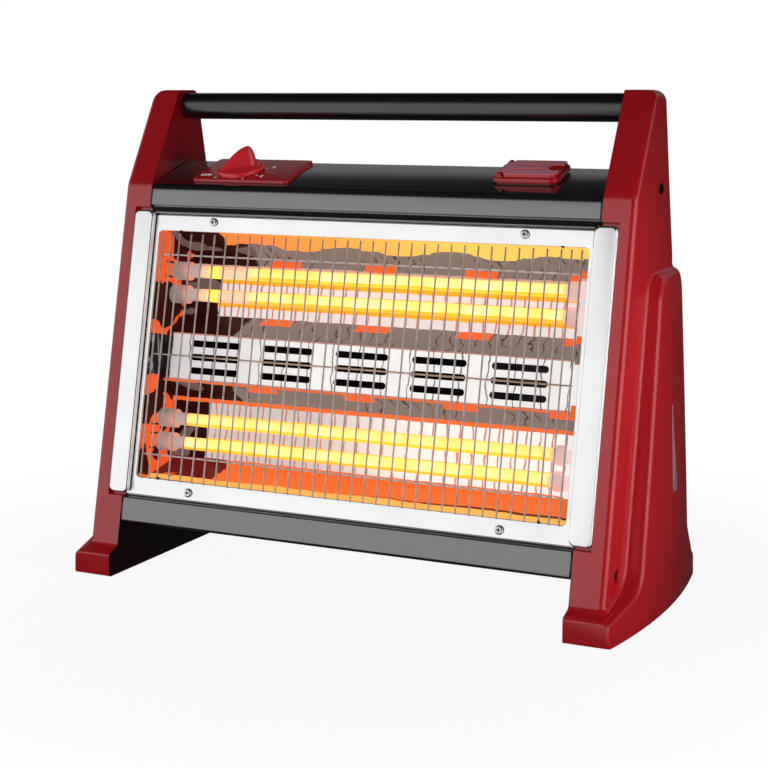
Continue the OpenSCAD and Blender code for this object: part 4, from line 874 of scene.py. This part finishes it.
def heatingCoil(up, radius, wire, half, turns, lead):  # a helix with straight leads: it turns as x runs on
    t = np.linspace(0, 1, turns * 14)
    turn = 2 * math.pi * turns * t
    ease = np.clip(np.minimum(t, 1 - t) * turns, 0, 1) * radius
    path = onFront(-half + 2 * half * t, tubes["depth"] + ease * np.cos(turn), up + ease * np.sin(turn))
    ends = onFront(np.array([-lead, -half - 4.0]), tubes["depth"], up)
    turn = np.concatenate([[0, 0], turn, [0, 0]])
    outward = onFront(0, np.cos(turn), np.sin(turn)) - onFront(0, 0, 0)  # keeps the wire's sections from twisting
    return tubeAlong(np.concatenate([ends, path, ends[::-1] * (-1, 1, 1)]), wire, 6, outward)


for name, side in (("upper", 1), ("lower", -1)):
    makePiece(name + "Reflector", [troughSheet(side, **troughs)], trough, name + "_reflector")
for k, up in enumerate((windowMid + a * pairOff + b * tubeOff for a in (1, -1) for b in (1, -1)), 1):
    makePiece(f"quartzTube{k}", [quartzTube(up, **tubes)], quartz, f"quartz_tube_{k}")
    makePiece(f"heatingCoil{k}", [heatingCoil(up, **coils)], coil, f"heating_coil_{k}")
print("troughs, tubes and coils made")

# Control plate, its marks and the knob; words are (text, x, along, size), ticks are (angle, inner and outer radius)
controlPlate = {"box": (-178.0, 9.5, -80.0, 64.0), "low": 0.2, "high": 3.2, "corner": 4.0, "ease": 0.9}
knob = {"x": -138.0, "along": 32.0, "radius": 21.5, "low": 3.5, "high": 8.5, "tip": 20.3, "tail": -14.8, "rise": 17.0,
        "pointer": 225.0}
marks = {"lift": 3.2, "proud": 0.12, "half": 0.35,
         "words": (("OFF", -174.0, 18.0, 6.4), ("1", -127.5, 10.9, 4.8), ("2", -112.5, 18.5, 6.2),
                   ("3", -112.0, 41.5, 6.2)),
         "ticks": ((225, 24.0, 26.4), (335, 22.6, 24.6), (20, 22.6, 24.6))}


def platePart(box, low, high, corner, ease):  # one soft-cornered outline, drawn in round the top edge
    levels = [(0.3, low), (0, low + 0.3)] + [(g, high + drop) for g, drop in quarter(ease)]
    return loft(softRings(box, corner, levels, onCover))


def atKnob(a, b, lift, turn=0.0):  # a and b turned about the knob's axis
    c, s = math.cos(math.radians(turn)), math.sin(math.radians(turn))
    return onCover(knob["x"] + (a * c - b * s), knob["along"] + (a * s + b * c), lift)


def knobDisc(r, low, high):  # (radius, height) profile turned about the knob's axis
    profile = np.array([(0.5, low), (r - 0.4, low), (r, low + 0.5), (r, high - 2.2), (r - 0.35, high - 1.3),
                        (r - 1.1, high - 0.5), (r - 2.2, high), (r - 4.2, high - 0.3), (0.5, high - 0.3)])
    angle, radius = fullTurn(72), profile[:, :1]
    return loft(atKnob(radius * np.cos(angle), radius * np.sin(angle), profile[:, 1:]))


def knobWedge(tip, tail, rise, base, pointer):  # cross-sections that grow from the pointer to a high round tail
    t = np.concatenate([np.linspace(0, 0.8, 26), 0.8 + 0.2 * np.sin(quarterTurn(16))[1:]])[:, None]
    tailFall = np.sqrt(np.clip(1 - fade(t, 0.84, 0.16) ** 2, 0, 1))
    height = (0.9 + (rise - 0.9) * np.sin(fade(t, 0, 0.86) * math.pi / 2) ** 1.15) * (0.22 + 0.78 * tailFall)
    width = (1.3 + 6.0 * fade(t, 0, 0.8) ** 0.8) * np.sqrt(np.clip(1 - fade(t, 0.82, 0.19) ** 2, 0.03, 1))
    u = np.linspace(-1, 1, 25)
    lift = (1 - np.abs(u) ** 1.9) ** 0.62
    b = np.sign(u) * np.abs(u) ** 0.75 * width * (1 - 0.55 * lift ** 1.3 * fade(t, 0, 0.5))
    a = np.broadcast_to(tip + (tail - tip) * t, b.shape)
    top = atKnob(a, b, base + lift * height, pointer)
    foot = atKnob(a[:, [0, -1]], b[:, [0, -1]], base - 0.6, pointer)
    return loft(np.concatenate([foot[:, :1], top, foot[:, 1:]], 1))


def knobParts(x, along, radius, low, high, tip, tail, rise, pointer):
    return [knobDisc(radius, low, high), knobWedge(tip, tail, rise, high - 0.6, pointer)]


def flatWord(text, size, thick):  # the word's outline as a thin mesh, in mm, from its lower left
    curve = bpy.data.curves.new("word", "FONT")
    curve.body, curve.size, curve.extrude, curve.resolution_u = text, size, thick / 2, 3
    holder = bpy.data.objects.new("word", curve)
    bpy.context.scene.collection.objects.link(holder)
    bpy.context.view_layer.update()
    mesh = bpy.data.meshes.new_from_object(holder.evaluated_get(bpy.context.evaluated_depsgraph_get()))
    bpy.data.objects.remove(holder)
    bpy.data.curves.remove(curve)
    return mesh


def printedMarks(lift, proud, half, words, ticks):  # words and short radial ticks laid on the plate
    bars = []
    for angle, inner, outer in ticks:
        r, w = np.array([inner, outer, outer, inner]), half * np.array([-1, -1, 1, 1])
        bars.append(loft(np.stack([atKnob(r, w, h, angle) for h in (lift - 0.05, lift + proud)])))
    bm = bmesh.new()
    bm.from_mesh(putMesh("ticks", bars))
    for text, x, along, size in words:
        mesh = flatWord(text, size, proud)
        spots = np.zeros(len(mesh.vertices) * 3, np.float32)
        mesh.vertices.foreach_get("co", spots)
        a, b, h = spots.reshape(-1, 3).T
        placed = onCover(x + a, along + b, lift + proud / 2 + h) * mm
        mesh.vertices.foreach_set("co", placed.astype(np.float32).ravel())
        bm.from_mesh(mesh)
        bpy.data.meshes.remove(mesh)
    made = bpy.data.meshes.new("dialMarks")
    bm.to_mesh(made)
    bm.free()
    return made


makePiece("controlPlate", [platePart(**controlPlate)], red, "control_plate")
makePiece("dialMarks", printedMarks(**marks), printInk, slot="red_plastic")
makePiece("knob", knobParts(**knob), knobRedLit, "knob", body="knob", sharp=40)

# Filler and lid: height fields over soft-cornered plates; boxes are (x from, x to, along from, along to)
filler = {"x": (109.0, 169.0), "along": (21.0, 61.0), "low": 0.2, "high": 6.0, "corner": 8.0, "ease": 1.3,
          "neck": 8.0, "wall": 2.0, "mouth": (122.5, 163.0, 27.0, 55.0), "relief": (110.5, 120.2, 28.5, 53.5, 3.0),
          "undercut": (2.5, 2.4)}
lid = {"x": (118.8, 166.5), "along": (23.5, 58.5), "low": 6.3, "high": 9.3, "corner": 4.0, "ease": 1.2,
       "groove": (139.7, 13.6, 1.2, 0.8), "grooveApart": 4.6, "scoop": (162.5, 41.0, 8.5, 7.0, 2.3),
       "plug": (124.0, 161.5, 28.5, 53.5, 3.8)}
hinge = {"x": 115.5, "lift": 6.3, "radius": 3.0, "bore": 1.3, "ear": 5.0, "gap": 0.3}


def plateGrid(p, extra):  # even steps with the named stops added, the corners of the square drawn in to quarter discs
    rim, r = np.array([0.1, 0.35, 0.7]), p["corner"]
    stops = [np.concatenate([np.linspace(low, high, n), low + rim, high - rim, more])
             for (low, high), n, more in ((p["x"], 130, extra[0]), (p["along"], 96, extra[1]))]
    x, along = np.meshgrid(*(np.unique(s) for s in stops), indexing="ij")
    spans = ((x, *p["x"]), (along, *p["along"]))
    edge = np.minimum(*(np.minimum(v - low, high - v) for v, low, high in spans))
    offX, offAlong = (v - np.clip(v, low + r, high - r) for v, low, high in spans)
    pull = np.maximum(np.abs(offX), np.abs(offAlong)) / np.maximum(np.hypot(offX, offAlong), 1e-9)
    draw = 1 - np.where((offX != 0) & (offAlong != 0), pull, 1.0)
    return x - offX * draw, along - offAlong * draw, p["high"] - rollOff(p["ease"], p["ease"] - edge), edge


def within(box, x, along):
    return (x > box[0]) & (x < box[1]) & (along > box[2]) & (along < box[3])


def sleeve(start, end, slack=0.0):  # a short tube about the hinge's axis
    angle, r, bore, ease = fullTurn(28), hinge["radius"], hinge["bore"] + slack, 0.5
    profile = np.array([(bore, start), (r - ease, start), (r, start + ease),
                        (r, end - ease), (r - ease, end), (bore, end)])
    out, along = profile[:, :1], profile[:, 1:]
    return loft(onCover(hinge["x"] + out * np.cos(angle), along, hinge["lift"] + out * np.sin(angle)), around=True)


def fillerParts():  # the plate with its mouth and the hinge's bed, undercut at its rim, the neck below and two ears
    p, m, bed, low, wall = filler, filler["mouth"], filler["relief"], filler["low"], filler["wall"]
    x, along, lift, edge = plateGrid(p, (m[:2] + bed[:1], m[2:] + bed[2:4]))
    run, rise = p["undercut"]
    under = low + rise * fade(edge, run, -0.4)
    lift = np.where(within(bed, x, along), bed[4], lift)
    keep = ~within(m, *((v[1:, 1:] + v[:-1, :-1]) / 2 for v in (x, along)))
    levels = [(-wall, low), (-wall, -p["neck"]), (0.0, -p["neck"]), (0.0, low)]
    neck = loft(softRings((m[0], m[2], m[1], m[3]), 0.5, levels, onCover), around=True)
    start, end, ear = *lid["along"], hinge["ear"]
    plate = walled(onCover(x, along, lift), onCover(x, along, under), keep)
    return [plate, neck, sleeve(start, start + ear), sleeve(end - ear, end)]


def lidParts():  # the plate with two grooves and a finger scoop, the plug below it and the hinge's barrel
    p, low = lid, lid["low"]
    x, along, lift = plateGrid(p, ((), ()))[:3]
    at, half, r, deep = p["groove"]
    off = np.hypot(np.maximum(np.abs(x - at) - half, 0), np.abs(along - sum(p["along"]) / 2) - p["grooveApart"])
    atX, atAlong, halfX, halfAlong, depth = p["scoop"]
    scoop = np.sqrt(np.maximum(1 - ((x - atX) / halfX) ** 2 - ((along - atAlong) / halfAlong) ** 2, 0))
    lift = lift - deep * fade(off, r + 0.25, -0.5) - depth * scoop
    plate = walled(onCover(x, along, np.maximum(lift, low + 0.3)), onCover(x, along, np.full(x.shape, low)))
    x0, x1, along0, along1, foot = p["plug"]
    levels = [(0.5, foot), (0, foot + 0.5), (0, low + 0.1)]
    plug = softRings((x0, along0, x1, along1), 1.5, levels, onCover, least=1.5)
    start, end = (s + k * (hinge["ear"] + hinge["gap"]) for s, k in zip(p["along"], (1, -1)))
    webBox = (hinge["x"] + 1.6, start, p["x"][0] + 1.0, end)
    web = softRings(webBox, 0.3, [(0, low + 0.2), (0, p["high"] - 0.2)], onCover)
    return [plate, loft(plug), loft(web), sleeve(start, end, 0.05)]


makePiece("fillerFrame", fillerParts(), red, "filler_frame")
makePiece("tankLid", lidParts(), lidRedPaintedSheen, "tank_lid", body="lid")
print("controls and filler made")

# Floor, lights and camera
studio = {"ambient": (0.30, 0.10), "frontFade": (0.30, 0.62), "dark": 0.02, "rearLow": 0.03, "rear": 0.25,
          "rearFade": (0.497, 0.617), "rearTurn": (112.0, 124.0), "floorBack": 0.3, "floor": 6.0,
          "left": (-112.0, -96.0, -8.0, 4.0), "right": (50.0, 60.0, 112.0, 124.0)}


def mirrored(f, x, y, high):  # what reflections meet by turn from the front: white beside the eye, dim behind
    p = studio
    turn = x.turnFrom(0.0 - y) * (180 / math.pi)
    left, right = (turn.ramp(*p[k][:2]) * turn.fall(*p[k][2:]) for k in ("left", "right"))
    front = (left + right) * high.ramp(*p["frontFade"], 1.0, p["dark"])
    rear = abs(turn).ramp(*p["rearTurn"]) * high.ramp(0.1, 0.4, p["rearLow"], p["rear"])
    return front + rear * high.ramp(*p["rearFade"], 1.0, 0.05)


def lightPath(f):  # whether the eye sees it, and whether a reflection or a clear piece does
    eye, *shine = (f.node("ShaderNodeLightPath", output=f"Is {k} Ray") for k in ("Camera", "Glossy", "Transmission"))
    return eye, (shine[0] + shine[1]).clamp()


def shone(f, kind, level):  # light of a grey level
    return f.node(kind, {}, {"Color": f.blend(level, (0, 0, 0), (1, 1, 1)), "Strength": 1.0})


def paleFloor():  # white paper for the eye, with most of the shadow near the heater
    f = Finish("paleFloor")
    x, y, z = f.place()
    eye, shine = lightPath(f)
    paper = f.node("ShaderNodeBsdfDiffuse", {}, {"Color": (0.88, 0.88, 0.88, 1)})
    white = shone(f, "ShaderNodeEmission", eye + shine * mirrored(f, x, y + studio["floorBack"], z))
    seen = (eye * (x * x + y * y).ramp(0.05, 0.4, 0.92, 1.0) + shine).clamp()
    return f.finishWith(f.node("ShaderNodeMixShader", {}, {0: seen, 1: paper, 2: white}))


def studioWorld(world):  # white for the eye, the room for reflections, for light a grey that falls off overhead
    f = Finish("studio", world)
    x, y, high = f.place()
    eye, shine = lightPath(f)
    level = shine * mirrored(f, x, y, high) + (1 - shine) * high.ramp(0.0, 1.0, *studio["ambient"])
    f.finishWith(shone(f, "ShaderNodeBackground", eye + (1 - eye) * level), "World")


bpy.context.scene.world = bpy.data.worlds.new("studio")
studioWorld(bpy.context.scene.world)
floorMesh = bpy.data.meshes.new("floor")
floorCorners = [(a * studio["floor"], b * studio["floor"], 0) for a, b in ((-1, -1), (1, -1), (1, 1), (-1, 1))]
floorMesh.from_pydata(floorCorners, [], [(0, 1, 2, 3)])
floorMesh.materials.append(paleFloor().material)
floor = bpy.data.objects.new("floor", floorMesh)
bpy.context.scene.collection.objects.link(floor)

softboxes = {
    "front": {"at": (-0.95, -1.35, 0.6), "aim": (-0.05, 0, 0.2), "size": (1.5, 1.1), "radiance": 1.5, "spread": 180},
    "side": {"at": (0.72, -0.24, 0.28), "aim": (0.246, -0.11, 0.21), "size": (0.2, 0.4), "radiance": 1.5, "spread": 52},
    "top": {"at": (0.2, 0.1, 2.0), "aim": (0, 0, 0.2), "size": (1.2, 0.8), "radiance": 0.15, "spread": 180},
    "rear": {"at": (-0.7, 1.5, 0.7), "aim": (0, 0.05, 0.2), "size": (1.2, 1.0), "radiance": 1.2, "spread": 120}}
for name, p in softboxes.items():
    lamp = bpy.data.lights.new(name, "AREA")
    lamp.shape, (lamp.size, lamp.size_y) = "RECTANGLE", p["size"]
    lamp.energy, lamp.spread = p["radiance"] * math.pi * p["size"][0] * p["size"][1], math.radians(p["spread"])
    holder = bpy.data.objects.new(name, lamp)
    holder.location = p["at"]
    x, y, z = np.subtract(p["aim"], p["at"])
    holder.rotation_euler = (math.atan2(math.hypot(x, y), -z), 0, math.atan2(-x, y))
    holder.visible_camera = holder.visible_glossy = False
    bpy.context.scene.collection.objects.link(holder)

view = {"at": (0.64675, -1.34117, 0.43140), "turn": (81.413, 0.0, 25.643), "lens": 79.25, "shift": (-0.0038, -0.0467)}
camera = bpy.data.objects.new("camera", bpy.data.cameras.new("camera"))
camera.location = view["at"]
camera.rotation_euler = [math.radians(a) for a in view["turn"]]
camera.data.lens, camera.data.sensor_width = view["lens"], 36.0
camera.data.shift_x, camera.data.shift_y = view["shift"]
bpy.context.scene.collection.objects.link(camera)
bpy.context.scene.camera = camera
bpy.context.scene.view_settings.view_transform = "Standard"
print("stage, lights and camera set")

bpy.context.view_layer.update()
